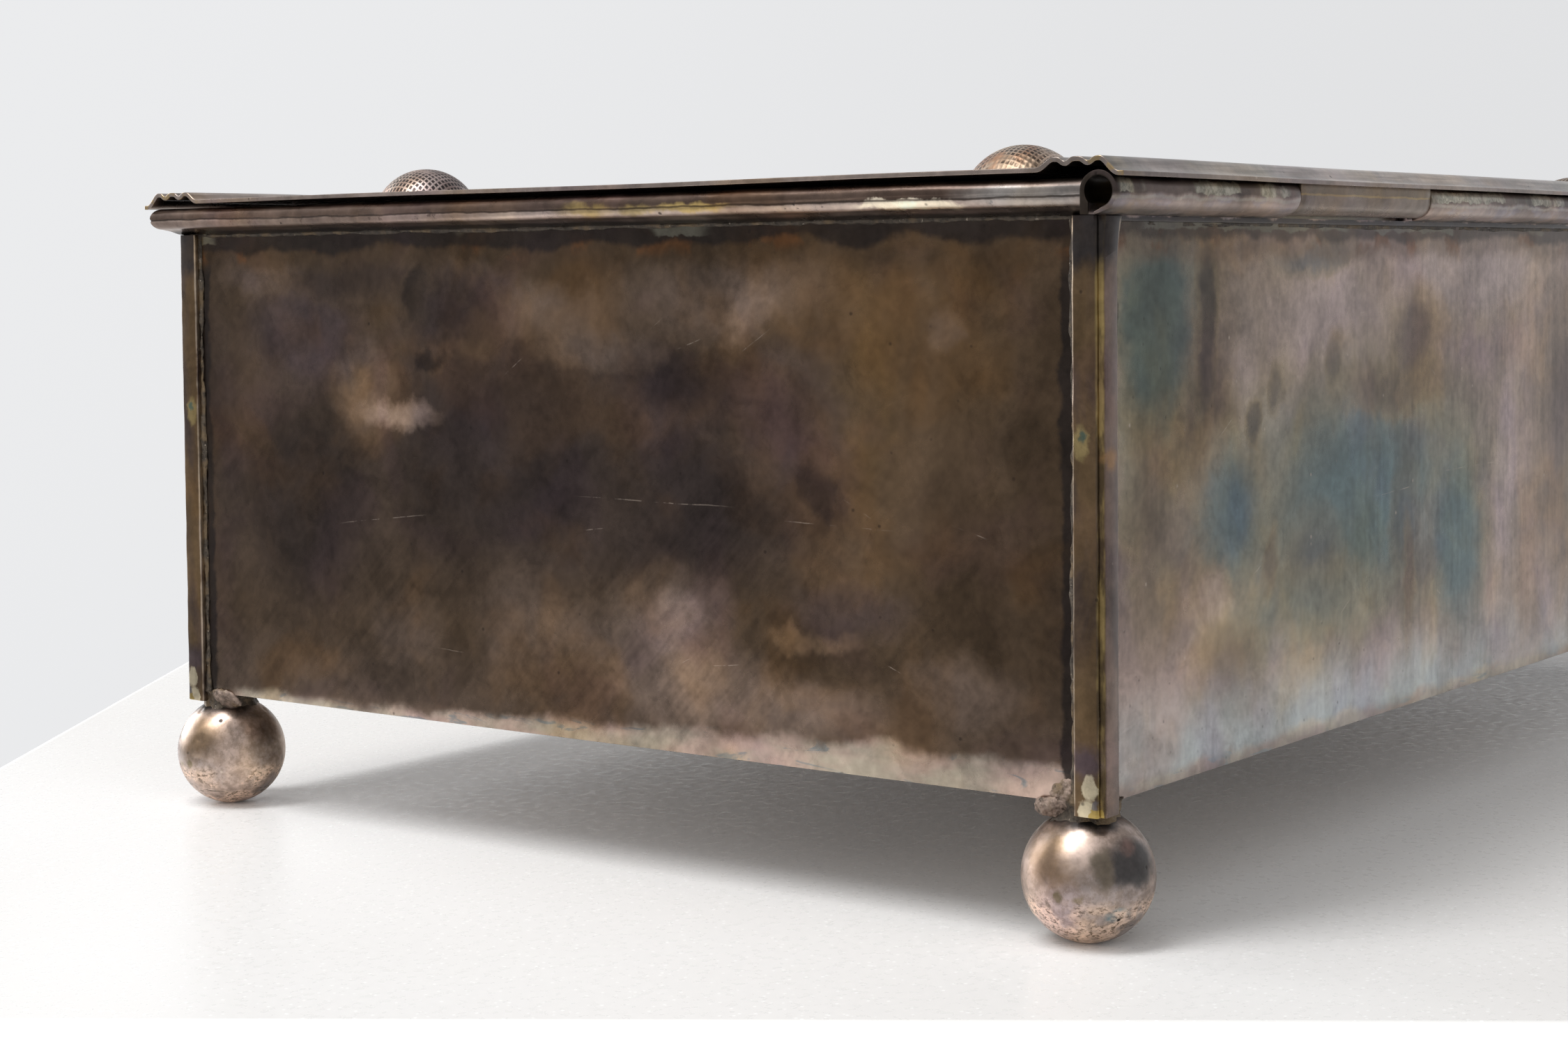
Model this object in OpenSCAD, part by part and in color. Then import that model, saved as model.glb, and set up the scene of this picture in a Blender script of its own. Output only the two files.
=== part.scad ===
// Lidded sheet-metal silverware chest on ball feet, with a rolled hinge along its back.
// X runs along the chest, Y from front to back, Z up. The chest stands on the plane Z = 0,
// and the origin is under the centre of the closed chest's outline.

/* [Body] */
// Length of the body over its end panels
body_l = 380; // [320:1:440]
// Depth of the body over its front and back panels
body_w = 244; // [210:1:280]
// Height of the panels, from their bottom edge to the rim's top
body_h = 112.6; // [90:0.2:140]
// Thickness of the panels' sheet
sheet_t = 1; // [0.8:0.1:1.5]

/* [Feet] */
// Diameter of a ball foot
foot_d = 25; // [20:0.5:30]
// Diameter of the flat worn under each ball
foot_flat_d = 4; // [3:0.2:6]
// Diameter of the neck between ball and bottom
foot_neck_d = 11.4; // [8:0.2:11.6]
// Height of the neck over the ball's top
foot_neck_h = 1.7; // [1:0.1:4]
// Distance of a foot's axis from the outer faces of both panels
foot_inset = 5.9; // [5.8:0.1:12]

/* [Corner mouldings] */
// Width of the moulding on each panel, from its outer corner
post_w = 6.2; // [5:0.1:9]
// How far the moulding stands out from the panels
post_t = 1.5; // [1.2:0.1:2.2]
// Side of the square groove along the moulding's corner
post_groove = 1.1; // [0.7:0.05:1.15]
// How far the moulding reaches below the panels
post_drop = 2; // [1:0.1:3]

/* [Rim bead] */
// How far the bead stands out from the panels
rim_p = 6.2; // [5:0.1:7.5]
// Height of the bead where it meets the panels
rim_h = 5.8; // [5:0.1:8]
// Radius of the bead's round nose
rim_r = 2.3; // [1.8:0.1:2.5]

/* [Hinge] */
// Outer diameter of the body's rolled knuckles
knuckle_d = 7.6; // [7:0.1:8.4]
// Outer diameter of the lid's knuckles
lid_knuckle_d = 7.2; // [6.8:0.1:7.2]
// Diameter of the bore in all knuckles
bore_d = 5.6; // [4.6:0.1:5.6]
// Width of the open seam of a rolled knuckle, as an angle
seam_angle = 24; // [14:1:34]
// Length of each knuckle of the lid
lid_knuckle_l = 63; // [40:1:80]
// Length of the body's end knuckles
end_knuckle_l = 73; // [60:1:96]
// Gap between neighbouring knuckles
knuckle_gap = 0.4; // [0.2:0.1:0.8]
// Height of the hinge axis below the rim's top
axis_drop = 1.7; // [1.5:0.05:2.2]
// Height of the soldered leaf under the hinge axis
leaf_h = 5.2; // [4.8:0.1:12]
// Clearance between pin and bore, on the radius
pin_clearance = 0.05; // [0.03:0.01:0.1]
// How far the pin's ends lie inside the hinge's ends
pin_recess = 14; // [4:0.5:24]

/* [Lid] */
// Thickness of the lid's sheet
lid_t = 0.9; // [0.6:0.05:1.2]
// Clearance between the rim's top and the lid's lip
lid_seat = 0.8; // [0.6:0.05:1]
// Overhang of the lid past the front panel
lid_over_front = 6.5; // [6:0.1:10]
// Overhang of the lid past the back panel
lid_over_back = 8.9; // [8.7:0.1:10]
// Overhang of the lid past each end panel
lid_over_end = 6.6; // [5:0.1:9]
// Width of the flat lip at the lid's front and back edges
lip_w = 0.8; // [0.5:0.1:1]
// Width of the slope between the lip and the first ridge
lip_slope_w = 4; // [3.8:0.1:4.2]
// Distance between the ridges of the reeded border
ridge_pitch = 4.7; // [4:0.1:6]
// Number of ridges in the border
ridges = 3; // [2:1:4]
// Depth of the hollows between ridges
ridge_depth = 0.8; // [0.6:0.05:1]
// Height of the ridges over the lip
ridge_rise = 2.75; // [2.6:0.05:3.2]
// Height of the lid's flat field over the lip
field_rise = 0.95; // [0.5:0.05:1.6]
// Width of the slope between the last ridge and the field
field_slope_w = 3.7; // [3:0.1:5]

/* [Lid bosses] */
// Diameter of a boss
boss_d = 22.8; // [16:0.2:30]
// Height of a boss over the lid's field
boss_h = 6.7; // [4:0.1:8]
// Distance of a boss from the outer faces of both panels
boss_inset = 39.5; // [30:0.5:60]

/* [Lining] */
// Thickness of the floor pad
pad_t = 3; // [2:0.5:6]
// Thickness of the wall linings
lining_t = 2.5; // [1.5:0.5:5]
// Distance from the rim's top down to the linings' top edge
lining_drop = 9; // [4:0.5:20]
// Thickness of the dividers
divider_t = 4; // [3:0.5:8]
// Height of the dividers over the floor pad
divider_h = 55; // [30:1:75]
// Inner length of the cross compartment
cross_l = 92; // [70:1:120]
// Number of long compartments
long_count = 3; // [2:1:4]

/* [Hidden] */
$fn = 96;

// Overhangs differ at front and back, and the body sits off centre by half of that
body_y = (lid_over_front - lid_over_back) / 2;
front_y = body_y - body_w / 2;
back_y = body_y + body_w / 2;
end_x = body_l / 2;

// Heights, from the ground up
ball_r = foot_d / 2;
ball_z = sqrt(pow(ball_r, 2) - pow(foot_flat_d / 2, 2));
base_z = ball_z + ball_r + foot_neck_h;
floor_z = base_z + sheet_t;
rim_top_z = base_z + body_h;
rim_low_z = rim_top_z - rim_h;
axis_z = rim_top_z - axis_drop;
lip_z = rim_top_z + lid_seat;
field_z = lip_z + field_rise;

// Hinge: the leaf lies on the back panel's outer face and rolls outwards round the axis
leaf_t = (knuckle_d - bore_d) / 2;
axis_y = back_y + knuckle_d / 2;
hinge_half = end_x + rim_p + 0.2;
end_knuckle_x = hinge_half - end_knuckle_l;
lid_knuckle_x = end_knuckle_x - knuckle_gap - lid_knuckle_l;
leaf_half = end_x + post_t - post_w - knuckle_gap;
lid_knuckle_t = (lid_knuckle_d - bore_d) / 2;

// Lid border, counted inwards from the lip's edge
slope_end = lip_w + lip_slope_w;
reed_end = slope_end + ridge_pitch * (ridges - 1);
border_w = reed_end + field_slope_w;
border_step = 0.35;

// Lining
pad_top_z = floor_z + pad_t;
lining_top_z = rim_top_z - lining_drop;
inner_x = end_x - sheet_t;
inner_w = body_w - 2 * sheet_t;
hold_x = inner_x - lining_t;
hold_w = inner_w - 2 * lining_t;
cross_x = -hold_x + cross_l;
long_pitch = (hold_w + divider_t) / long_count;

silver = [0.45, 0.4, 0.37];
dark_silver = [0.36, 0.32, 0.3];
brass = [0.62, 0.5, 0.3];
cloth = [0.2, 0.22, 0.3];

// A block between two corners
module block(low, high) {
    translate(low) cube(high - low);
}

// Moves a piece made at the body's front left corner to another corner: sx and sy are -1 or 1
module at_corner(sx, sy) {
    translate([0, body_y, 0])
        mirror([sx > 0 ? 1 : 0, 0, 0])
            mirror([0, sy > 0 ? 1 : 0, 0])
                translate([-end_x, -body_w / 2, 0])
                    children();
}

// Turns an outline drawn in Y and Z into a bar along X
module bar_along_x(low_x, high_x) {
    translate([low_x, 0, 0])
        rotate([90, 0, 90])
            linear_extrude(height = high_x - low_x)
                children();
}

// Bottom plate, between the four panels
module bottom_plate() {
    color(dark_silver)
        block(
            [-inner_x, front_y + sheet_t, base_z],
            [inner_x, back_y - sheet_t, floor_z]
        );
}

// Front and back panels run the full length of the body
module long_panel(low_y) {
    color(silver)
        block([-end_x, low_y, base_z], [end_x, low_y + sheet_t, rim_top_z]);
}

// End panels fit between the front and back panels
module end_panel(low_x) {
    color(silver)
        block(
            [low_x, front_y + sheet_t, base_z],
            [low_x + sheet_t, back_y - sheet_t, rim_top_z]
        );
}

// Corner moulding: an angle with a square groove down its outer corner
module corner_moulding() {
    low_z = base_z - post_drop;
    color(silver)
        translate([-post_t, -post_t, low_z])
            difference() {
                cube([post_w, post_w, rim_low_z - low_z]);
                translate([post_t, post_t, -1])
                    cube([post_w, post_w, rim_low_z - low_z + 2]);
                translate([-1, -1, -1])
                    cube([post_groove + 1, post_groove + 1, rim_low_z - low_z + 2]);
            }
}

// Ball foot: a ball, worn flat underneath, with a short neck soldered to the bottom
module foot() {
    color(dark_silver)
        translate([foot_inset, foot_inset, 0])
            rotate_extrude()
                foot_outline();
}

// Half section of the foot
module foot_outline() {
    intersection() {
        union() {
            translate([0, ball_z]) circle(r = ball_r);
            translate([0, ball_z]) square([foot_neck_d / 2, base_z - ball_z]);
        }
        square([foot_d, base_z]);
    }
}

// Section of the rim bead: a round nose under a flat top, sloping in to the panel below,
// with Y counted outwards from the panel
module bead_section() {
    nose_y = rim_p - rim_r;
    translate([nose_y, rim_h - rim_r]) circle(r = rim_r);
    polygon([[0, 0], [nose_y, rim_h - 2 * rim_r], [nose_y, rim_h], [0, rim_h]]);
}

// Front bead, mitred at both ends
module rim_bead_front() {
    color(silver)
        intersection() {
            bar_along_x(-end_x - rim_p, end_x + rim_p)
                translate([front_y, rim_low_z])
                    mirror([1, 0])
                        bead_section();
            translate([0, front_y, rim_low_z - 1])
                linear_extrude(height = rim_h + 2)
                    polygon([
                        [-end_x, 0],
                        [-end_x - rim_p - 1, -rim_p - 1],
                        [end_x + rim_p + 1, -rim_p - 1],
                        [end_x, 0]
                    ]);
        }
}

// End bead, from the mitre at the front to the hinge at the back: side is -1 or 1
module rim_bead_end(side) {
    color(silver)
        mirror([side < 0 ? 1 : 0, 0, 0])
            intersection() {
                translate([end_x, back_y, rim_low_z])
                    rotate([90, 0, 0])
                        linear_extrude(height = body_w + rim_p)
                            bead_section();
                translate([end_x, 0, rim_low_z - 1])
                    linear_extrude(height = rim_h + 2)
                        polygon([
                            [0, front_y],
                            [rim_p + 1, front_y - rim_p - 1],
                            [rim_p + 1, back_y + 1],
                            [0, back_y + 1]
                        ]);
            }
}

// Section of a rolled knuckle round the hinge axis: a ring with an open seam, wide of seam_angle,
// whose middle points along seam_dir
module rolled_ring(outer_d, seam_dir) {
    reach = outer_d;
    difference() {
        circle(d = outer_d);
        circle(d = bore_d);
        rotate(seam_dir)
            polygon([
                [0, 0],
                [reach, -reach * tan(seam_angle / 2)],
                [reach, reach * tan(seam_angle / 2)]
            ]);
    }
}

// Body hinge: one leaf soldered on the back panel, rolled into a long knuckle at each end
// and one in the middle
module hinge_leaf() {
    color(dark_silver)
        difference() {
            union() {
                bar_along_x(-hinge_half, hinge_half)
                    translate([axis_y, axis_z]) {
                        rolled_ring(knuckle_d, 235);
                        translate([-knuckle_d / 2, rim_low_z - axis_z])
                            square([leaf_t, axis_z - rim_low_z]);
                    }
                block(
                    [-leaf_half, back_y, axis_z - leaf_h],
                    [leaf_half, back_y + leaf_t, rim_low_z]
                );
            }
            for (side = [-1, 1])
                block(
                    [
                        side > 0 ? lid_knuckle_x - knuckle_gap : -end_knuckle_x,
                        back_y - 1,
                        rim_low_z
                    ],
                    [
                        side > 0 ? end_knuckle_x : -lid_knuckle_x + knuckle_gap,
                        axis_y + knuckle_d,
                        rim_top_z + knuckle_d
                    ]
                );
            translate([-hinge_half - 1, axis_y, axis_z])
                rotate([0, 90, 0])
                    cylinder(d = bore_d, h = 2 * hinge_half + 2);
        }
}

// Hinge pin, hidden inside the knuckles
module hinge_pin() {
    color(brass)
        translate([-hinge_half + pin_recess, axis_y, axis_z])
            rotate([0, 90, 0])
                cylinder(r = bore_d / 2 - pin_clearance, h = 2 * (hinge_half - pin_recess));
}

// Height of the lid's top face over the lip's top face, at a distance s from the lip's edge
function border_top(s) =
    s < lip_w ? 0
    : s < slope_end ? ridge_rise * (1 - cos(180 * (s - lip_w) / lip_slope_w)) / 2
    : s < reed_end ? ridge_rise - ridge_depth * (1 - cos(360 * (s - slope_end) / ridge_pitch)) / 2
    : s < border_w ? field_rise
        + (ridge_rise - field_rise) * (1 + cos(180 * (s - reed_end) / field_slope_w)) / 2
    : field_rise;

// Places along the border where the outline has a point, close together only on the curves
border_steps = concat(
    [0],
    [for (s = [lip_w : border_step : border_w]) s],
    [border_w]
);

// Both faces of the border, from the lip inwards and back
border_top_points = [for (s = border_steps) [s, border_top(s) + lid_t]];
border_low_points = [for (s = border_steps) [s, border_top(s)]];

// Section of the whole lid: the border at the front, the field, and the border at the back
module lid_section() {
    front = body_y - body_w / 2 - lid_over_front;
    back = body_y + body_w / 2 + lid_over_back;
    last = len(border_steps) - 1;
    polygon(concat(
        [for (p = border_top_points) [front + p[0], lip_z + p[1]]],
        [for (i = [last : -1 : 0]) [back - border_top_points[i][0], lip_z + border_top_points[i][1]]],
        [for (p = border_low_points) [back - p[0], lip_z + p[1]]],
        [for (i = [last : -1 : 0]) [front + border_low_points[i][0], lip_z + border_low_points[i][1]]]
    ));
}

// Lid: one sheet with a reeded border pressed along its front and back edges
module lid_sheet() {
    color(silver)
        bar_along_x(-end_x - lid_over_end, end_x + lid_over_end)
            lid_section();
}

// Lid knuckle: a strip soldered under the lid's back border and rolled inwards round the pin
module lid_knuckle(low_x) {
    color(dark_silver)
        bar_along_x(low_x, low_x + lid_knuckle_l)
            difference() {
                translate([axis_y, axis_z]) {
                    rolled_ring(lid_knuckle_d, 55);
                    translate([lid_knuckle_d / 2 - lid_knuckle_t, 0])
                        square([lid_knuckle_t, axis_drop + lid_seat + ridge_rise]);
                }
                lid_cover();
            }
}

// Everything from the lid's underside upwards, above the hinge
module lid_cover() {
    back = body_y + body_w / 2 + lid_over_back;
    top = ridge_rise + lid_t + 1;
    polygon(concat(
        [for (p = border_low_points) [back - p[0], lip_z + p[1]]],
        [[back - border_w, lip_z + top], [back, lip_z + top]]
    ));
}

// Boss: a low dome soldered on the lid's field
module boss(sx, sy) {
    dome_r = (pow(boss_d / 2, 2) + pow(boss_h, 2)) / (2 * boss_h);
    color(dark_silver)
        translate([
            sx * (end_x - boss_inset),
            body_y + sy * (body_w / 2 - boss_inset),
            field_z + lid_t
        ])
            rotate_extrude()
                intersection() {
                    translate([0, boss_h - dome_r]) circle(r = dome_r);
                    square([boss_d, boss_h]);
                }
}

// Floor pad, over the whole bottom
module floor_pad() {
    color(cloth)
        block([-inner_x, body_y - inner_w / 2, floor_z], [inner_x, body_y + inner_w / 2, pad_top_z]);
}

// Lining of a long panel, standing on the floor pad: side is -1 at the front, 1 at the back
module long_lining(side) {
    mid_y = body_y + side * (inner_w - lining_t) / 2;
    color(cloth)
        block(
            [-inner_x, mid_y - lining_t / 2, pad_top_z],
            [inner_x, mid_y + lining_t / 2, lining_top_z]
        );
}

// Lining of an end panel, between the long linings
module end_lining(side) {
    mid_x = side * (inner_x - lining_t / 2);
    color(cloth)
        block(
            [mid_x - lining_t / 2, body_y - hold_w / 2, pad_top_z],
            [mid_x + lining_t / 2, body_y + hold_w / 2, lining_top_z]
        );
}

// Cross divider, which parts the short compartment at the left from the long ones
module cross_divider() {
    color(cloth)
        block(
            [cross_x, body_y - hold_w / 2, pad_top_z],
            [cross_x + divider_t, body_y + hold_w / 2, pad_top_z + divider_h]
        );
}

// Long dividers, from the cross divider to the right lining
module long_dividers() {
    color(cloth)
        for (i = [1 : long_count - 1])
            block(
                [cross_x + divider_t, body_y - hold_w / 2 + i * long_pitch - divider_t, pad_top_z],
                [hold_x, body_y - hold_w / 2 + i * long_pitch, pad_top_z + divider_h]
            );
}

bottom_plate();
long_panel(front_y);  // front_panel
long_panel(back_y - sheet_t);  // back_panel
end_panel(-end_x);  // left_panel
end_panel(end_x - sheet_t);  // right_panel
at_corner(-1, -1) corner_moulding();  // corner_moulding_front_left
at_corner(1, -1) corner_moulding();  // corner_moulding_front_right
at_corner(-1, 1) corner_moulding();  // corner_moulding_back_left
at_corner(1, 1) corner_moulding();  // corner_moulding_back_right
at_corner(-1, -1) foot();  // foot_front_left
at_corner(1, -1) foot();  // foot_front_right
at_corner(-1, 1) foot();  // foot_back_left
at_corner(1, 1) foot();  // foot_back_right
rim_bead_front();
rim_bead_end(-1);  // rim_bead_left
rim_bead_end(1);  // rim_bead_right
hinge_leaf();
hinge_pin();
floor_pad();
long_lining(-1);  // lining_front
long_lining(1);  // lining_back
end_lining(-1);  // lining_left
end_lining(1);  // lining_right
cross_divider();
long_dividers();
lid_sheet();
lid_knuckle(-lid_knuckle_x - lid_knuckle_l);  // lid_knuckle_left
lid_knuckle(lid_knuckle_x);  // lid_knuckle_right
boss(-1, -1);  // lid_boss_front_left
boss(1, -1);  // lid_boss_front_right
boss(-1, 1);  // lid_boss_back_left
boss(1, 1);  // lid_boss_back_right
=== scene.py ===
import math
import random

import bmesh
import bpy
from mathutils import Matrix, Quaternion, Vector, noise


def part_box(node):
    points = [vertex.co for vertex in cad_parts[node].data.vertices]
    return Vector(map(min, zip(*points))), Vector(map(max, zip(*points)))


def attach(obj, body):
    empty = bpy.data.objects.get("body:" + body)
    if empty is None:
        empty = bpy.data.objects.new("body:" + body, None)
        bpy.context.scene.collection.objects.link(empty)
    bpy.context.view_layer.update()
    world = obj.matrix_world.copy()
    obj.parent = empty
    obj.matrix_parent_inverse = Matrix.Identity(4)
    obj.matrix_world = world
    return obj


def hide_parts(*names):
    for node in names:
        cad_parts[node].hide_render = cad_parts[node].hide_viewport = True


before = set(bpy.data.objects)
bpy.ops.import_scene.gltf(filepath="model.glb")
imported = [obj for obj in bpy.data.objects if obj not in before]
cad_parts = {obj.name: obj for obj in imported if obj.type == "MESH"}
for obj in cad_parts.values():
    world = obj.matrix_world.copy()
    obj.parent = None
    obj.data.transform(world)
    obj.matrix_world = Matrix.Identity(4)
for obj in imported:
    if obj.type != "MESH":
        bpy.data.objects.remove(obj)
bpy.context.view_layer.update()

# Camera
# A portrait-length lens stands low beside the chest, at the height of its rim, and looks past
# the corner between the right end and the hinged back.
camera_place = Vector((0.60846, 0.36248, 0.12418))
camera_heading = math.radians(36.71)
camera_dip = math.radians(2.74)
camera_roll = math.radians(-0.535)
bpy.ops.object.camera_add(location=camera_place)
camera = bpy.context.object
camera.name = "camera"
camera.data.lens = 61.5
camera.data.sensor_width = 36
camera.data.shift_y = -0.08
camera.data.clip_start = 0.01
level = math.cos(camera_dip)
sight = Vector((-level * math.cos(camera_heading), -level * math.sin(camera_heading), -math.sin(camera_dip)))
camera.rotation_mode = "QUATERNION"
camera.rotation_quaternion = sight.to_track_quat("-Z", "Y") @ Quaternion((0, 0, 1), camera_roll)
bpy.context.scene.camera = camera
bpy.context.scene.view_settings.view_transform = "Standard"


# Studio
# A pale backdrop, darker where the camera doesn't look, and two soft boxes: a long one high over
# the end of the chest, a little to the camera's left, and a far, weak one at the chest's front.
# The rest of the light comes from the room on the camera's side, and most of it from low down.
def put(tree, kind, values=None, **settings):
    """Adds a shader node. values gives an input a number, a colour or another node's output."""
    made = tree.nodes.new("ShaderNode" + kind)
    for name, value in settings.items():
        setattr(made, name, value)
    for name, value in (values or {}).items():
        if isinstance(value, bpy.types.NodeSocket):
            tree.links.new(value, made.inputs[name])
        else:
            made.inputs[name].default_value = value
    return made


def mix(tree, factor, first, second, mode="MIX"):
    """Mixes two colours and gives back the output."""
    made = put(tree, "Mix", {0: factor, 6: first, 7: second}, data_type="RGBA", blend_type=mode)
    return made.outputs[2]


def span(tree, value, low, high, to_low=0.0, to_high=1.0):
    """Maps a value smoothly from low..high to to_low..to_high."""
    made = put(
        tree,
        "MapRange",
        {"Value": value, "From Min": low, "From Max": high, "To Min": to_low, "To Max": to_high},
        interpolation_type="SMOOTHSTEP",
    )
    return made.outputs[0]


def sum_up(tree, operation, first, second=0.0):
    """One step of arithmetic on two values."""
    return put(tree, "Math", {0: first, 1: second}, operation=operation).outputs[0]


backdrop_near = (0.795, 0.80, 0.812, 1)
backdrop_far = (0.50, 0.50, 0.51, 1)
world = bpy.data.worlds.new("studio")
bpy.context.scene.world = world
world.use_nodes = True
tree = world.node_tree
tree.nodes.clear()
direction = put(tree, "TexCoord").outputs["Generated"]
facing = put(
    tree, "VectorMath", {0: direction, 1: (-0.8, -0.6, 0.15)}, operation="DOT_PRODUCT"
).outputs["Value"]
backdrop = mix(tree, span(tree, facing, 0.3, 0.95), backdrop_far, backdrop_near)
leftwards = put(
    tree, "VectorMath", {0: direction, 1: (0.6, -0.8, 0.4)}, operation="DOT_PRODUCT"
).outputs["Value"]
glow = span(tree, leftwards, -0.3, 0.3, 0.95, 1.045)
glow = put(tree, "CombineXYZ", {0: glow, 1: glow, 2: glow}).outputs[0]
backdrop = mix(tree, 1.0, backdrop, glow, "MULTIPLY")
backdrop = put(tree, "Background", {"Color": backdrop, "Strength": 1.0})
upward = put(tree, "SeparateXYZ", {0: direction}).outputs[2]
horizon = span(tree, upward, 0.0, 0.40, 0.9, 0.40)
room = sum_up(tree, "MULTIPLY", horizon, span(tree, facing, 0.25, -0.6, 0.2, 3.7))
room = sum_up(tree, "MULTIPLY", room, span(tree, upward, -0.12, 0.0, 0.2, 1.0))
ambient = put(tree, "Background", {"Color": (0.80, 0.80, 0.805, 1), "Strength": room})
path = put(tree, "LightPath").outputs
seen = sum_up(tree, "MAXIMUM", path["Is Camera Ray"], path["Is Glossy Ray"])
seen = sum_up(tree, "MAXIMUM", seen, path["Is Transmission Ray"])
sky = put(tree, "MixShader", {0: seen, 1: ambient.outputs[0], 2: backdrop.outputs[0]})
put(tree, "OutputWorld", {"Surface": sky.outputs[0]})


def soft_box(name, place, aim, size, power):
    """A rectangular soft box that points at aim, with its width and height."""
    bpy.ops.object.light_add(type="AREA", location=place)
    lamp = bpy.context.object
    lamp.name = name
    lamp.data.shape = "RECTANGLE"
    lamp.data.size, lamp.data.size_y = size
    lamp.data.energy = power
    lamp.rotation_mode = "QUATERNION"
    lamp.rotation_quaternion = (Vector(aim) - Vector(place)).to_track_quat("-Z", "Y")
    lamp.visible_camera = False


soft_box("high_box", (1.52, -0.72, 3.18), (0.2, 0, 0.02), (1.20, 2.50), 96)
soft_box("front_box", (0.17, -3.60, 1.10), (0.1, 0, 0.05), (2.40, 2.40), 70)


# Table
# The chest stands near one corner of a white painted board with rounded edges. Its paint is a
# satin white with a fine orange peel, and its sparse bright specks are painted glints.
def coordinates(tree):
    """The object's own coordinates, in metres."""
    return put(tree, "TexCoord").outputs["Object"]


def noise_value(tree, vector, scale, detail=4.0, rough=0.55, bend=0.0):
    """Cloudy noise between 0 and 1."""
    made = put(
        tree,
        "TexNoise",
        {"Vector": vector, "Scale": scale, "Detail": detail, "Roughness": rough, "Distortion": bend},
    )
    return made.outputs[0]


def stretched(tree, vector, factors):
    """The coordinates scaled by a factor along each axis."""
    return put(tree, "VectorMath", {0: vector, 1: factors}, operation="MULTIPLY").outputs[0]


def new_material(name, metallic, coat=0.0):
    """A material, its node tree and its shader."""
    made = bpy.data.materials.new(name)
    made.use_nodes = True
    shader = made.node_tree.nodes["Principled BSDF"]
    shader.inputs["Metallic"].default_value = metallic
    shader.inputs["Coat Weight"].default_value = coat
    shader.inputs["Coat Roughness"].default_value = 0.22
    return made, made.node_tree, shader


def bump(tree, shader, height, strength, distance):
    """Feeds a height into the shader's normal."""
    made = put(tree, "Bump", {"Height": height, "Strength": strength, "Distance": distance})
    tree.links.new(made.outputs[0], shader.inputs["Normal"])


def dress(piece, *materials):
    """Gives a piece its materials."""
    piece.data.materials.clear()
    for made in materials:
        piece.data.materials.append(made)


def choose_only(piece):
    """Makes this the one selected object."""
    bpy.ops.object.select_all(action="DESELECT")
    piece.select_set(True)
    bpy.context.view_layer.objects.active = piece


def add_modifier(piece, kind, **settings):
    """Adds a modifier and applies it."""
    choose_only(piece)
    made = piece.modifiers.new(kind.lower(), kind)
    for name, value in settings.items():
        setattr(made, name, value)
    bpy.ops.object.modifier_apply(modifier=made.name)


def settle(piece, angle=35):
    """Puts the piece's place into its mesh and shades its round parts smooth."""
    choose_only(piece)
    bpy.ops.object.transform_apply(location=True, rotation=True, scale=True)
    bpy.ops.object.shade_smooth_by_angle(angle=math.radians(angle))


table_corner = Vector((0.380, -0.071))
table_turn = math.radians(124.5)
table_size = (0.585, 0.95, 0.03)
along = Vector((math.cos(table_turn), math.sin(table_turn)))
away = Vector((-along.y, along.x))
middle = table_corner + along * table_size[0] / 2 + away * table_size[1] / 2
bpy.ops.mesh.primitive_cube_add(size=1, location=(middle.x, middle.y, -table_size[2] / 2))
table = bpy.context.object
table.name = "table"
table.rotation_euler = (0, 0, table_turn)
table.scale = table_size
settle(table)
add_modifier(table, "BEVEL", width=0.004, segments=5)
settle(table)
paint, tree, shader = new_material("white_paint", 0.0)
shader.inputs["Specular IOR Level"].default_value = 0.12
place = coordinates(tree)
cloud = noise_value(tree, place, 6, 2)
tint = mix(tree, span(tree, cloud, 0.3, 0.7), (0.795, 0.785, 0.77, 1), (0.82, 0.815, 0.805, 1))
blobs = put(tree, "TexVoronoi", {"Vector": place, "Scale": 640.0, "Randomness": 1.0}).outputs
chance = put(tree, "SeparateColor", {0: blobs["Color"]}).outputs[0]
# Sparse near-white dots: painted glints of light on the peel.
painted_glints = sum_up(tree, "MULTIPLY", span(tree, blobs["Distance"], 0.26, 0.14), span(tree, chance, 0.62, 0.64))
tint = mix(tree, sum_up(tree, "MULTIPLY", painted_glints, 0.8), tint, (0.97, 0.97, 0.96, 1))
tree.links.new(tint, shader.inputs["Base Color"])
peel = noise_value(tree, place, 420, 3, 0.6)
tree.links.new(span(tree, peel, 0.2, 0.8, 0.22, 0.42), shader.inputs["Roughness"])
bump(tree, shader, peel, 0.4, 0.00006)
dress(table, paint)


# Wall panels
# Four panels of 1 mm brass sheet, silver plated and long tarnished: brown and purple-black at the
# ends, mauve with teal patches along the sides, bare and pale where the bottom edge was rubbed.
# The lower part is lightened further by a painted reflection of the white table, and painted
# shade darkens them under the rim and beside the mouldings.
# Each is one hand-flattened sheet, so its face isn't quite flat, soldered to its neighbours.
def new_group(name, inputs, outputs):
    """A shader node group with its input and output sockets."""
    tree = bpy.data.node_groups.new(name, "ShaderNodeTree")
    for label, kind in inputs:
        tree.interface.new_socket(name=label, in_out="INPUT", socket_type="NodeSocket" + kind)
    for label, kind in outputs:
        tree.interface.new_socket(name=label, in_out="OUTPUT", socket_type="NodeSocket" + kind)
    return tree, tree.nodes.new("NodeGroupInput").outputs, tree.nodes.new("NodeGroupOutput").inputs


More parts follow.
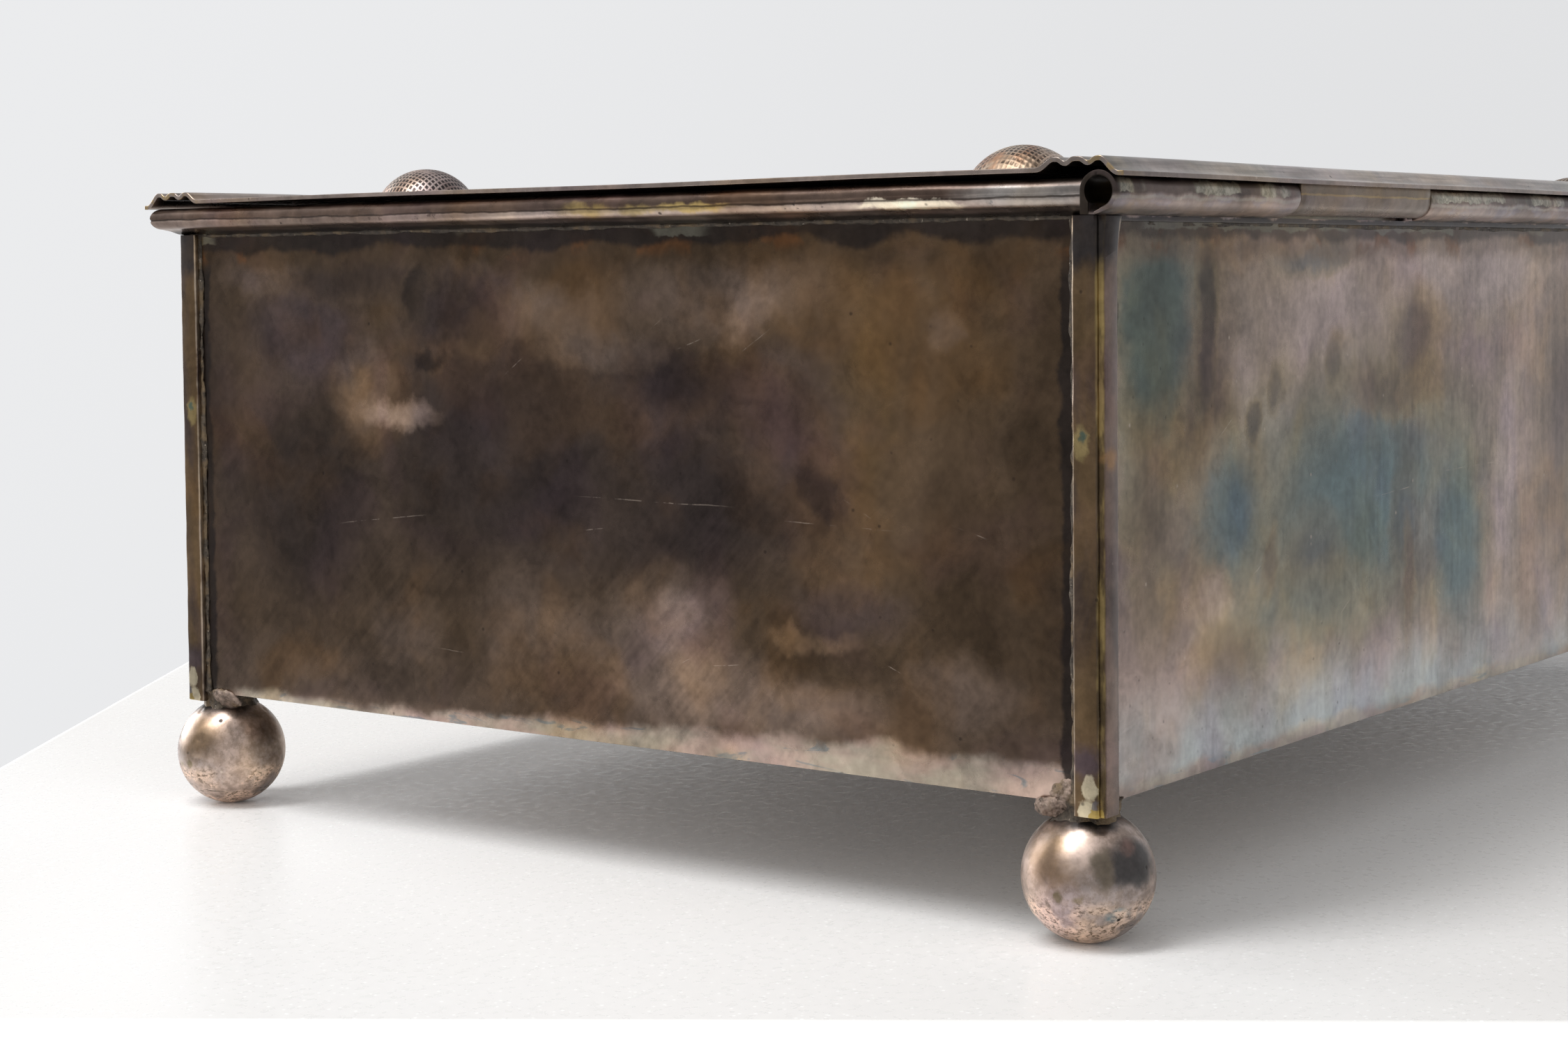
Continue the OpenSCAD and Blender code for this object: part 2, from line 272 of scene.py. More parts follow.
def make_patch_group():
    """A soft-edged oval patch at a centre, and the fringe round its edge."""
    tree, given, result = new_group(
        "patch",
        (("Vector", "Vector"), ("Centre", "Vector"), ("Size", "Vector"), ("Soft", "Float"), ("Strength", "Float")),
        (("Mask", "Float"), ("Fringe", "Float")),
    )
    offset = put(tree, "VectorMath", {0: given["Vector"], 1: given["Centre"]}, operation="SUBTRACT")
    share = put(tree, "VectorMath", {0: offset.outputs[0], 1: given["Size"]}, operation="DIVIDE")
    reach = put(tree, "VectorMath", {0: share.outputs[0]}, operation="LENGTH").outputs["Value"]
    inner = sum_up(tree, "SUBTRACT", 1.0, given["Soft"])
    outer = sum_up(tree, "ADD", 1.0, given["Soft"])
    mask = span(tree, reach, outer, inner)
    fringe = sum_up(tree, "MULTIPLY", mask, sum_up(tree, "SUBTRACT", 1.0, mask))
    tree.links.new(sum_up(tree, "MULTIPLY", mask, given["Strength"]), result["Mask"])
    tree.links.new(sum_up(tree, "MULTIPLY", fringe, given["Strength"]), result["Fringe"])
    return tree


def make_scratch_group():
    """A fine straight scratch through a point, which fades towards its ends."""
    tree, given, result = new_group(
        "scratch",
        (("Vector", "Vector"), ("Middle", "Vector"), ("Along", "Vector"), ("Length", "Float"), ("Width", "Float")),
        (("Mask", "Float"),),
    )
    offset = put(tree, "VectorMath", {0: given["Vector"], 1: given["Middle"]}, operation="SUBTRACT").outputs[0]
    run = put(tree, "VectorMath", {0: offset, 1: given["Along"]}, operation="DOT_PRODUCT").outputs["Value"]
    along = put(tree, "VectorMath", {0: given["Along"], "Scale": run}, operation="SCALE").outputs[0]
    beside = put(tree, "VectorMath", {0: offset, 1: along}, operation="DISTANCE").outputs["Value"]
    line = span(tree, beside, given["Width"], sum_up(tree, "MULTIPLY", given["Width"], 0.3))
    half = sum_up(tree, "MULTIPLY", given["Length"], 0.5)
    ends = span(tree, sum_up(tree, "ABSOLUTE", run), half, sum_up(tree, "MULTIPLY", half, 0.5))
    tree.links.new(sum_up(tree, "MULTIPLY", line, ends), result["Mask"])
    return tree


def make_silver_group():
    """What all the old silver shares: clouds, tide marks, brush lines, pits and specks."""
    tree, given, result = new_group(
        "old_silver",
        (
            ("Vector", "Vector"), ("Brushed", "Vector"), ("Colour", "Color"), ("Wear", "Float"),
            ("Dullness", "Float"), ("Scratch", "Float"),
        ),
        (("Colour", "Color"), ("Roughness", "Float"), ("Height", "Float")),
    )
    place = given["Vector"]
    large = noise_value(tree, place, 30, 5, 0.62, 0.3)
    middle = noise_value(tree, place, 95, 5, 0.6, 0.5)
    small = noise_value(tree, place, 480, 4, 0.6)
    lines = noise_value(tree, given["Brushed"], 500, 3, 0.6)
    light = sum_up(tree, "ADD", span(tree, large, 0.28, 0.72, 0.70, 1.25), span(tree, middle, 0.3, 0.7, -0.13, 0.17))
    light = sum_up(tree, "ADD", light, span(tree, small, 0.3, 0.7, -0.10, 0.10))
    brushing = span(tree, lines, 0.3, 0.7, -0.10, 0.12)
    rubbed = span(tree, noise_value(tree, place, 13, 2), 0.45, 0.60, 0.25, 1.0)
    light = sum_up(tree, "ADD", light, sum_up(tree, "MULTIPLY", brushing, rubbed))
    tide = sum_up(tree, "ABSOLUTE", sum_up(tree, "SUBTRACT", large, 0.53))
    light = sum_up(tree, "SUBTRACT", light, span(tree, tide, 0.012, 0.0, 0.0, 0.09))
    grey = put(tree, "CombineXYZ", {0: light, 1: light, 2: light}).outputs[0]
    colour = mix(tree, 1.0, given["Colour"], grey, "MULTIPLY")
    warm = span(tree, noise_value(tree, place, 45, 3, 0.5, 0.4), 0.45, 0.68)
    colour = mix(tree, sum_up(tree, "MULTIPLY", warm, 0.40), colour, (0.86, 0.66, 0.38, 1), "SOFT_LIGHT")
    cold = put(tree, "VectorMath", {0: place, 1: (0.31, 0.17, 0.23)}, operation="ADD").outputs[0]
    cold = span(tree, noise_value(tree, cold, 38, 3, 0.5, 0.4), 0.48, 0.70)
    colour = mix(tree, sum_up(tree, "MULTIPLY", cold, 0.5), colour, (0.48, 0.44, 0.60, 1), "SOFT_LIGHT")

    cells = put(tree, "TexVoronoi", {"Vector": place, "Scale": 330.0, "Randomness": 1.0})
    chance = put(tree, "SeparateColor", {0: cells.outputs["Color"]}).outputs
    spot = span(tree, cells.outputs["Distance"], 0.18, 0.06)
    speck = sum_up(tree, "MULTIPLY", sum_up(tree, "MULTIPLY", spot, span(tree, chance[0], 0.95, 0.97)), given["Wear"])
    pit = sum_up(tree, "MULTIPLY", sum_up(tree, "MULTIPLY", spot, span(tree, chance[1], 0.92, 0.95)), given["Wear"])
    colour = mix(tree, sum_up(tree, "MULTIPLY", pit, 0.6), colour, (0.02, 0.014, 0.012, 1))
    colour = mix(tree, sum_up(tree, "MULTIPLY", speck, 0.5), colour, (0.60, 0.50, 0.42, 1))
    colour = mix(tree, sum_up(tree, "MULTIPLY", given["Scratch"], 0.38), colour, (0.56, 0.46, 0.38, 1))
    tree.links.new(colour, result["Colour"])

    rough = sum_up(tree, "ADD", span(tree, middle, 0.25, 0.8, 0.0, 0.12), given["Dullness"])
    rough = sum_up(tree, "ADD", rough, span(tree, large, 0.3, 0.7, 0.06, 0.0))
    tree.links.new(rough, result["Roughness"])
    height = sum_up(tree, "ADD", sum_up(tree, "MULTIPLY", small, 0.22), sum_up(tree, "MULTIPLY", lines, 0.3))
    height = sum_up(tree, "SUBTRACT", height, sum_up(tree, "MULTIPLY", pit, 1.2))
    height = sum_up(tree, "SUBTRACT", height, sum_up(tree, "MULTIPLY", given["Scratch"], 0.8))
    tree.links.new(height, result["Height"])
    return tree


patch_group = make_patch_group()
scratch_group = make_scratch_group()
silver_group = make_silver_group()


def age(tree, shader, place, colour, brush=(1, 1, 1), wear=1.0, depth=0.00006, dull=0.23, scratch=0.0):
    """Lays the shared wear of old silver over a colour, and feeds the shader."""
    brushed = brush if isinstance(brush, bpy.types.NodeSocket) else stretched(tree, place, brush)
    made = put(
        tree,
        "Group",
        {
            "Vector": place, "Brushed": brushed, "Colour": colour,
            "Wear": wear, "Dullness": dull, "Scratch": scratch,
        },
        node_tree=silver_group,
    )
    tree.links.new(made.outputs["Colour"], shader.inputs["Base Color"])
    tree.links.new(made.outputs["Roughness"], shader.inputs["Roughness"])
    bump(tree, shader, made.outputs["Height"], 0.5, depth)


def ragged(tree, place, scale, amount):
    """The coordinates pushed about by noise, so that what is drawn with them has a ragged outline."""
    made = put(tree, "TexNoise", {"Vector": place, "Scale": scale, "Detail": 5.0, "Roughness": 0.6})
    push = put(tree, "VectorMath", {0: made.outputs["Color"], 1: (0.5, 0.5, 0.5)}, operation="SUBTRACT")
    push = put(tree, "VectorMath", {0: push.outputs[0], 1: (amount,) * 3}, operation="MULTIPLY")
    return put(tree, "VectorMath", {0: place, 1: push.outputs[0]}, operation="ADD").outputs[0]


def paint_patches(tree, place, colour, patches, fringe=None):
    """Lays oval patches over a colour, each with its colour, strength, centre, size and softness."""
    for tone, strength, centre, size, soft in patches:
        made = put(
            tree,
            "Group",
            {"Vector": place, "Centre": centre, "Size": size, "Soft": soft, "Strength": strength},
            node_tree=patch_group,
        )
        if fringe:
            rim = sum_up(tree, "MULTIPLY", made.outputs["Fringe"], 1.6)
            colour = mix(tree, rim, colour, (*fringe, 1))
        colour = mix(tree, made.outputs["Mask"], colour, (*tone, 1))
    return colour


wall_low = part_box("right_panel")[0].z
wall_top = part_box("rim_bead_right")[0].z
end_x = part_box("right_panel")[1].x
back_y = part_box("back_panel")[1].y
front_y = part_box("front_panel")[0].y
body_y = (front_y + back_y) / 2
half_w = (back_y - front_y) / 2
moulding_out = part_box("corner_moulding_back_right")[1].x - end_x
moulding_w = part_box("corner_moulding_back_right")[1].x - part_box("corner_moulding_back_right")[0].x
moulding_in = moulding_w - moulding_out

umber = (0.088, 0.057, 0.034)
olive = (0.118, 0.074, 0.040)
bronze = (0.17, 0.115, 0.075)
soot = (0.050, 0.037, 0.034)
pitch = (0.030, 0.023, 0.020)
plum = (0.088, 0.064, 0.064)
rust = (0.16, 0.072, 0.030)
haze = (0.20, 0.145, 0.115)
rose = (0.58, 0.43, 0.36)
apricot = (0.42, 0.27, 0.16)
nickel = (0.52, 0.46, 0.37)
mauve = (0.36, 0.27, 0.235)
lilac = (0.50, 0.40, 0.365)
teal = (0.120, 0.185, 0.195)
verdigris = (0.200, 0.225, 0.190)
steel = (0.36, 0.41, 0.42)
gold = (0.40, 0.30, 0.15)

end_stains = (
    (olive, 0.85, (0.088, 0.098), (0.038, 0.040), 0.5),
    (umber, 0.8, (0.100, 0.060), (0.030, 0.026), 0.6),
    (olive, 0.9, (0.070, 0.100), (0.013, 0.030), 0.5),
    ((0.145, 0.092, 0.045), 0.7, (0.071, 0.098), (0.006, 0.020), 0.7),
    (soot, 0.95, (0.006, 0.096), (0.050, 0.015), 0.5),
    (soot, 0.95, (0.018, 0.076), (0.040, 0.016), 0.6),
    (soot, 0.8, (-0.028, 0.086), (0.034, 0.026), 0.6),
    (plum, 0.9, (-0.084, 0.110), (0.016, 0.012), 0.6),
    (soot, 0.75, (-0.036, 0.116), (0.016, 0.007), 0.6),
    (soot, 0.6, (-0.070, 0.124), (0.030, 0.004), 0.7),
    (soot, 0.75, (-0.084, 0.074), (0.024, 0.022), 0.6),
    (haze, 0.55, (-0.098, 0.125), (0.009, 0.005), 0.6),
    (haze, 0.65, (-0.066, 0.100), (0.008, 0.009), 0.5),
    (apricot, 0.35, (-0.0675, 0.0990), (0.004, 0.005), 0.6),
    (rose, 0.65, (-0.056, 0.0955), (0.010, 0.003), 0.6),
    (pitch, 0.9, (-0.050, 0.120), (0.004, 0.005), 0.4),
    (pitch, 0.85, (-0.045, 0.107), (0.006, 0.003), 0.5),
    (pitch, 0.8, (-0.033, 0.128), (0.003, 0.007), 0.6),
    (plum, 0.7, (-0.030, 0.119), (0.012, 0.005), 0.6),
    (haze, 0.55, (-0.008, 0.116), (0.014, 0.004), 0.7),
    (haze, 0.6, (0.004, 0.109), (0.012, 0.0035), 0.7),
    (haze, 0.7, (0.034, 0.119), (0.020, 0.006), 0.7),
    (rose, 0.35, (0.042, 0.117), (0.005, 0.005), 0.8),
    (plum, 0.8, (0.052, 0.093), (0.010, 0.012), 0.7),
    (soot, 0.85, (0.058, 0.0806), (0.006, 0.005), 0.5),
    (umber, 0.9, (0.109, 0.082), (0.007, 0.040), 0.5),
    (haze, 0.5, (0.088, 0.111), (0.004, 0.004), 0.6),
    (haze, 0.45, (-0.053, 0.047), (0.010, 0.008), 0.6),
    (haze, 0.6, (-0.018, 0.049), (0.010, 0.012), 0.6),
    (haze, 0.85, (0.020, 0.049), (0.014, 0.011), 0.6),
    (rose, 0.55, (0.021, 0.050), (0.006, 0.007), 0.6),
    (apricot, 0.6, (0.029, 0.041), (0.006, 0.006), 0.6),
    (umber, 0.9, (0.042, 0.040), (0.006, 0.012), 0.5),
    (apricot, 0.4, (0.056, 0.0515), (0.010, 0.002), 0.6),
    (haze, 0.6, (0.091, 0.044), (0.010, 0.005), 0.6),
    (plum, 0.6, (0.066, 0.058), (0.012, 0.005), 0.7),
    (soot, 0.85, (-0.037, 0.117), (0.012, 0.007), 0.6),
    (soot, 0.5, (-0.112, 0.088), (0.006, 0.030), 0.7),
    (rose, 0.30, (0.026, 0.041), (0.016, 0.006), 0.8),
    (haze, 0.60, (0.002, 0.047), (0.018, 0.007), 0.8),
    (rose, 0.28, (0.050, 0.037), (0.020, 0.004), 0.8),
)
side_stains = (
    (bronze, 0.85, (0.150, 0.100), (0.012, 0.030), 0.6),
    (verdigris, 0.8, (0.160, 0.122), (0.010, 0.007), 0.8),
    (verdigris, 0.8, (0.178, 0.100), (0.006, 0.026), 0.6),
    (bronze, 0.75, (0.170, 0.085), (0.009, 0.024), 0.7),
    (mauve, 0.8, (0.130, 0.112), (0.014, 0.012), 0.6),
    (lilac, 0.6, (0.132, 0.106), (0.006, 0.012), 0.6),
    (lilac, 0.7, (0.095, 0.114), (0.032, 0.010), 0.7),
    (lilac, 0.6, (0.116, 0.090), (0.007, 0.010), 0.7),
    (lilac, 0.8, (0.020, 0.122), (0.040, 0.010), 0.7),
    (verdigris, 0.75, (0.082, 0.074), (0.070, 0.026), 0.5),
    (teal, 0.9, (0.076, 0.074), (0.040, 0.020), 0.6),
    (teal, 0.9, (0.140, 0.076), (0.012, 0.012), 0.7),
    (teal, 0.9, (0.026, 0.062), (0.014, 0.020), 0.6),
    (plum, 0.5, (0.100, 0.060), (0.012, 0.010), 0.8),
    (plum, 0.45, (0.054, 0.066), (0.006, 0.014), 0.7),
    (verdigris, 0.6, (0.110, 0.052), (0.030, 0.007), 0.8),
    (bronze, 0.7, (0.062, 0.098), (0.022, 0.005), 0.7),
    (pitch, 0.6, (0.1285, 0.0930), (0.003, 0.004), 0.5),
    (pitch, 0.5, (0.119, 0.100), (0.003, 0.005), 0.6),
    (pitch, 0.45, (0.094, 0.104), (0.004, 0.004), 0.6),
    (lilac, 0.7, (-0.003, 0.072), (0.008, 0.026), 0.6),
    (plum, 0.7, (0.052, 0.109), (0.010, 0.008), 0.7),
    (lilac, 0.45, (0.146, 0.060), (0.006, 0.005), 0.7),
    (gold, 0.45, (0.110, 0.038), (0.012, 0.004), 0.7),
    (rust, 0.40, (0.053, 0.052), (0.0025, 0.013), 0.6),
    (rust, 0.35, (0.121, 0.064), (0.003, 0.006), 0.6),
    (plum, 0.7, (-0.045, 0.080), (0.020, 0.028), 0.7),
    (verdigris, 0.8, (-0.090, 0.070), (0.036, 0.020), 0.7),
    (teal, 0.8, (-0.096, 0.066), (0.020, 0.012), 0.7),
    (lilac, 0.6, (-0.120, 0.102), (0.024, 0.012), 0.7),
    (bronze, 0.8, (-0.152, 0.072), (0.020, 0.030), 0.6),
    (teal, 0.6, (-0.168, 0.112), (0.012, 0.010), 0.6),
    (bronze, 0.7, (0.140, 0.045), (0.012, 0.008), 0.7),
    ((0.085, 0.118, 0.105), 0.9, (0.1690, 0.112), (0.0140, 0.018), 0.4),
    ((0.075, 0.055, 0.042), 0.8, (0.1500, 0.114), (0.0040, 0.018), 0.6),
    ((0.22, 0.115, 0.050), 0.7, (0.1470, 0.1300), (0.0120, 0.0020), 0.6),
    ((0.10, 0.115, 0.120), 0.7, (0.1000, 0.1265), (0.0180, 0.0034), 0.6),
)


def wall_material(name, axis, side, base, stains, fringe, seed):
    """Old silver on a wall: stains, a rubbed bottom edge lightened further by a painted reflection of the table, seams
    and rim darkened by painted shade and stain, and scratches.
    """
    made, tree, shader = new_material(name, 1.0, 0.12)
    place = coordinates(tree)
    flat = stretched(tree, place, (axis, 1 - axis, 1))
    bent = ragged(tree, ragged(tree, flat, 24, 0.016), 130, 0.008)
    run = 1 - axis
    spots = []
    for tone, strength, centre, size, soft in stains:
        middle = (0, centre[0], centre[1]) if run else (centre[0], 0, centre[1])
        reach = (1, size[0], size[1]) if run else (size[0], 1, size[1])
        spots.append((tone, strength, middle, reach, soft))
    colour = paint_patches(tree, bent, (*base, 1), spots, fringe)

    height = put(tree, "SeparateXYZ", {0: ragged(tree, place, 60, 0.009)}).outputs[2]
    # Lighter towards the bottom edge: a painted reflection of the white table, partly the real paler tarnish there.
    pale_tarnish_and_reflection = span(tree, height, wall_low + 0.024, wall_low + 0.002, 0.0, 0.50 if run else 0.85)
    patchy = span(tree, noise_value(tree, place, 26, 3), 0.35, 0.6, 0.35, 1.0)
    colour = mix(tree, sum_up(tree, "MULTIPLY", pale_tarnish_and_reflection, patchy), colour, (*(haze if run else steel), 1))
    # The pale rubbed band along the bottom edge is real wear, and its lightness also stands in partly for the table's
    # reflection: painted reflection.
    if run:
        part = put(tree, "SeparateXYZ", {0: place}).outputs
        reach = span(tree, part[1], -0.09, 0.09, 0.0016, 0.0068)
        rubbed = sum_up(tree, "SUBTRACT", sum_up(tree, "ADD", reach, wall_low), height)
        rubbed = span(tree, rubbed, -0.001, 0.002, 0.0, 0.72)
    else:
        rubbed = span(tree, height, wall_low + 0.0035, wall_low + 0.001, 0.0, 0.75)
    hue = mix(
        tree, span(tree, noise_value(tree, stretched(tree, place, (1, 1, 3)), 40, 4), 0.40, 0.62),
        (*(rose if run else mauve), 1), (0.50, 0.44, 0.35, 1),
    )
    streak = noise_value(tree, stretched(tree, place, (1, 1, 5)), 62, 4, 0.6, 0.8)
    hue = mix(tree, span(tree, streak, 0.60, 0.66, 0.0, 0.7), hue, (0.20, 0.27, 0.30, 1))
    colour = mix(tree, rubbed, colour, hue)

    # Darker beside each moulding's inner edge: painted shade along the moulding, partly dark solder stain on the seam.
    across = put(tree, "SeparateXYZ", {0: ragged(tree, place, 150, 0.0045)}).outputs[run]
    if run:
        past = sum_up(tree, "SUBTRACT", sum_up(tree, "ABSOLUTE", sum_up(tree, "SUBTRACT", across, body_y)), half_w)
    else:
        past = sum_up(tree, "SUBTRACT", sum_up(tree, "ABSOLUTE", across), end_x)
    reach = 0.0026 if run else 0.0012
    shade_and_stain = span(tree, past, -moulding_in - reach - 0.0012, -moulding_in - reach, 0.0, 0.9)
    colour = mix(tree, shade_and_stain, colour, (*pitch, 1))

    jagged = put(tree, "SeparateXYZ", {0: ragged(tree, place, 45, 0.011)}).outputs[2]
    brown = span(tree, jagged, wall_top - 0.0095, wall_top - 0.0060, 0.0, 0.55)
    colour = mix(tree, brown, colour, (*(umber if run else bronze), 1))
    orange = span(tree, noise_value(tree, place, 70, 4), 0.54, 0.62)
    rim = sum_up(tree, "MULTIPLY", span(tree, jagged, wall_top - 0.0075, wall_top - 0.0045), orange)
    colour = mix(tree, sum_up(tree, "MULTIPLY", rim, 0.75), colour, (*rust, 1))
    # The dark band just under the rim: painted shade under the bead, partly real stain.
    rim_shade_stain = span(tree, jagged, wall_top - 0.0048, wall_top - 0.0030, 0.0, 0.92 if run else 0.7)
    colour = mix(tree, rim_shade_stain, colour, (*pitch, 1))
    smear = put(tree, "SeparateXYZ", {0: ragged(tree, place, 120, 0.005)}).outputs[2]
    smear = span(tree, smear, wall_top - 0.0026, wall_top - 0.0022, 0.0, 0.8)
    patchy = span(tree, noise_value(tree, place, 22, 3), 0.52, 0.56)
    colour = mix(tree, sum_up(tree, "MULTIPLY", smear, patchy), colour, (0.17, 0.16, 0.125, 1))

    chooser = random.Random(seed)
    scratched = 0.0
    bowed = ragged(tree, flat, 40, 0.0012)
    lines = [(0.017, 0.0772, 0.045, -0.01), (0.062, 0.0745, 0.030, -0.03), (-0.060, 0.0700, 0.030, 0.12)]
    for _ in range(13):
        lines.append((
            chooser.uniform(-0.10, 0.10) * (1 if run else 1.6), chooser.uniform(0.040, 0.120),
            chooser.uniform(0.003, 0.012), chooser.uniform(-0.7, 0.7),
        ))
    for middle, up, length, turn in lines:
        spot = (0, middle, up) if run else (middle, 0, up)
        way = (0, math.cos(turn), math.sin(turn)) if run else (math.cos(turn), 0, math.sin(turn))
        line = put(
            tree,
            "Group",
            {
                "Vector": bowed, "Middle": spot,
                "Along": way, "Length": length, "Width": 0.00015,
            },
            node_tree=scratch_group,
        ).outputs[0]
        scratched = sum_up(tree, "MAXIMUM", scratched, line)
    scratched = sum_up(tree, "MULTIPLY", scratched, span(tree, noise_value(tree, flat, 210, 3, 0.7), 0.42, 0.56))
    tilted = put(
        tree, "VectorRotate", {"Vector": place, "Angle": -side * 0.8}, rotation_type=("Y_AXIS", "X_AXIS")[run]
    ).outputs[0]
    brush = stretched(tree, tilted, (1, 0.08, 1)) if run else stretched(tree, place, (1, 1, 0.10))
    age(tree, shader, place, colour, brush, 0.9, 0.00005, 0.19 if run else 0.15, scratched)
    return made


def wall(name, node, axis, side, base, stains, fringe, seed):
    """One panel: a grid stood up in the panel's plane, pushed gently out of flat, and thickened."""
    low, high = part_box(node)
    run = 1 - axis
    cuts = round((high[run] - low[run]) / 0.004)
    bpy.ops.object.select_all(action="DESELECT")
    bpy.ops.mesh.primitive_grid_add(x_subdivisions=cuts, y_subdivisions=28, size=1)
    piece = bpy.context.object
    piece.name = name
    face = high[axis] if side > 0 else low[axis]
    for vertex in piece.data.vertices:
        across = vertex.co.x + 0.5
        up = vertex.co.y + 0.5
        spot = Vector((0, 0, low.z + up * (high.z - low.z)))
        spot[run] = low[run] + across * (high[run] - low[run])
        rim = math.sin(math.pi * across) * math.sin(math.pi * up)
        spot[axis] = face - side * 0.0005 * min(1, 2 * rim) * (0.5 + noise.noise(spot * 14))
        vertex.co = spot
    if piece.data.polygons[0].normal[axis] * side < 0:
        piece.data.flip_normals()
    add_modifier(piece, "SOLIDIFY", thickness=high[axis] - low[axis], offset=-1)
    add_modifier(piece, "BEVEL", width=0.00018, segments=2, limit_method="ANGLE")
    settle(piece)
    dress(piece, wall_material(name + "_silver", axis, side, base, stains, fringe, seed))
    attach(piece, "chest")
    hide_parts(node)


wall("wall_right", "right_panel", 0, 1, umber, end_stains, bronze, 3)
wall("wall_left", "left_panel", 0, -1, umber, end_stains[::-1], bronze, 4)
wall("wall_back", "back_panel", 1, 1, mauve, side_stains, gold, 5)
wall("wall_front", "front_panel", 1, -1, mauve, side_stains[::-1], gold, 6)


# Corner mouldings
# An angle of plated brass stands over each corner. Its two strips meet at a square groove, filed
# down to bare brass, and it is soldered along both inner edges. The back ones flare at the top.
def section_bar(name, outline, axis, low, high, rings):
    """A bar of one section: the outline is filled, extruded along the axis and cut into rings."""
    bpy.ops.object.select_all(action="DESELECT")
    bpy.ops.mesh.primitive_circle_add(vertices=len(outline), fill_type="NGON")
    piece = bpy.context.object
    piece.name = name
    others = [n for n in range(3) if n != axis]
    for vertex, point in zip(piece.data.vertices, outline):
        spot = Vector((low, low, low))
        spot[others[0]], spot[others[1]] = point
        vertex.co = spot
    reach = Vector((0, 0, 0))
    reach[axis] = high - low
    bpy.ops.object.mode_set(mode="EDIT")
    bpy.ops.mesh.select_all(action="SELECT")
    bpy.ops.mesh.extrude_region_move(TRANSFORM_OT_translate={"value": reach})
    mesh = bmesh.from_edit_mesh(piece.data)
    for edge in mesh.edges:
        first, second = (v.co for v in edge.verts)
        edge.select_set(abs(abs(first[axis] - second[axis]) - reach[axis]) < 1e-6)
    bmesh.update_edit_mesh(piece.data)
    bpy.ops.mesh.subdivide(number_cuts=rings)
    bpy.ops.mesh.select_all(action="SELECT")
    bpy.ops.mesh.normals_make_consistent(inside=False)
    bpy.ops.object.mode_set(mode="OBJECT")
    return piece


def rough_up(piece, amount, scale, seed=0.0):
    """Pushes each point a little by noise, as handwork and wear do."""
    for vertex in piece.data.vertices:
        spot = vertex.co * scale + Vector((seed, seed, seed))
        vertex.co += Vector(noise.noise_vector(spot)) * amount


groove = 0.0011


def corner_distance(tree, place):
    """How far a point lies past the walls' outer faces, as two values."""
    part = put(tree, "SeparateXYZ", {0: place}).outputs
    past_x = sum_up(tree, "SUBTRACT", sum_up(tree, "ABSOLUTE", part[0]), end_x)
    past_y = sum_up(tree, "ABSOLUTE", sum_up(tree, "SUBTRACT", part[1], body_y))
    return past_x, sum_up(tree, "SUBTRACT", past_y, half_w), part[2]


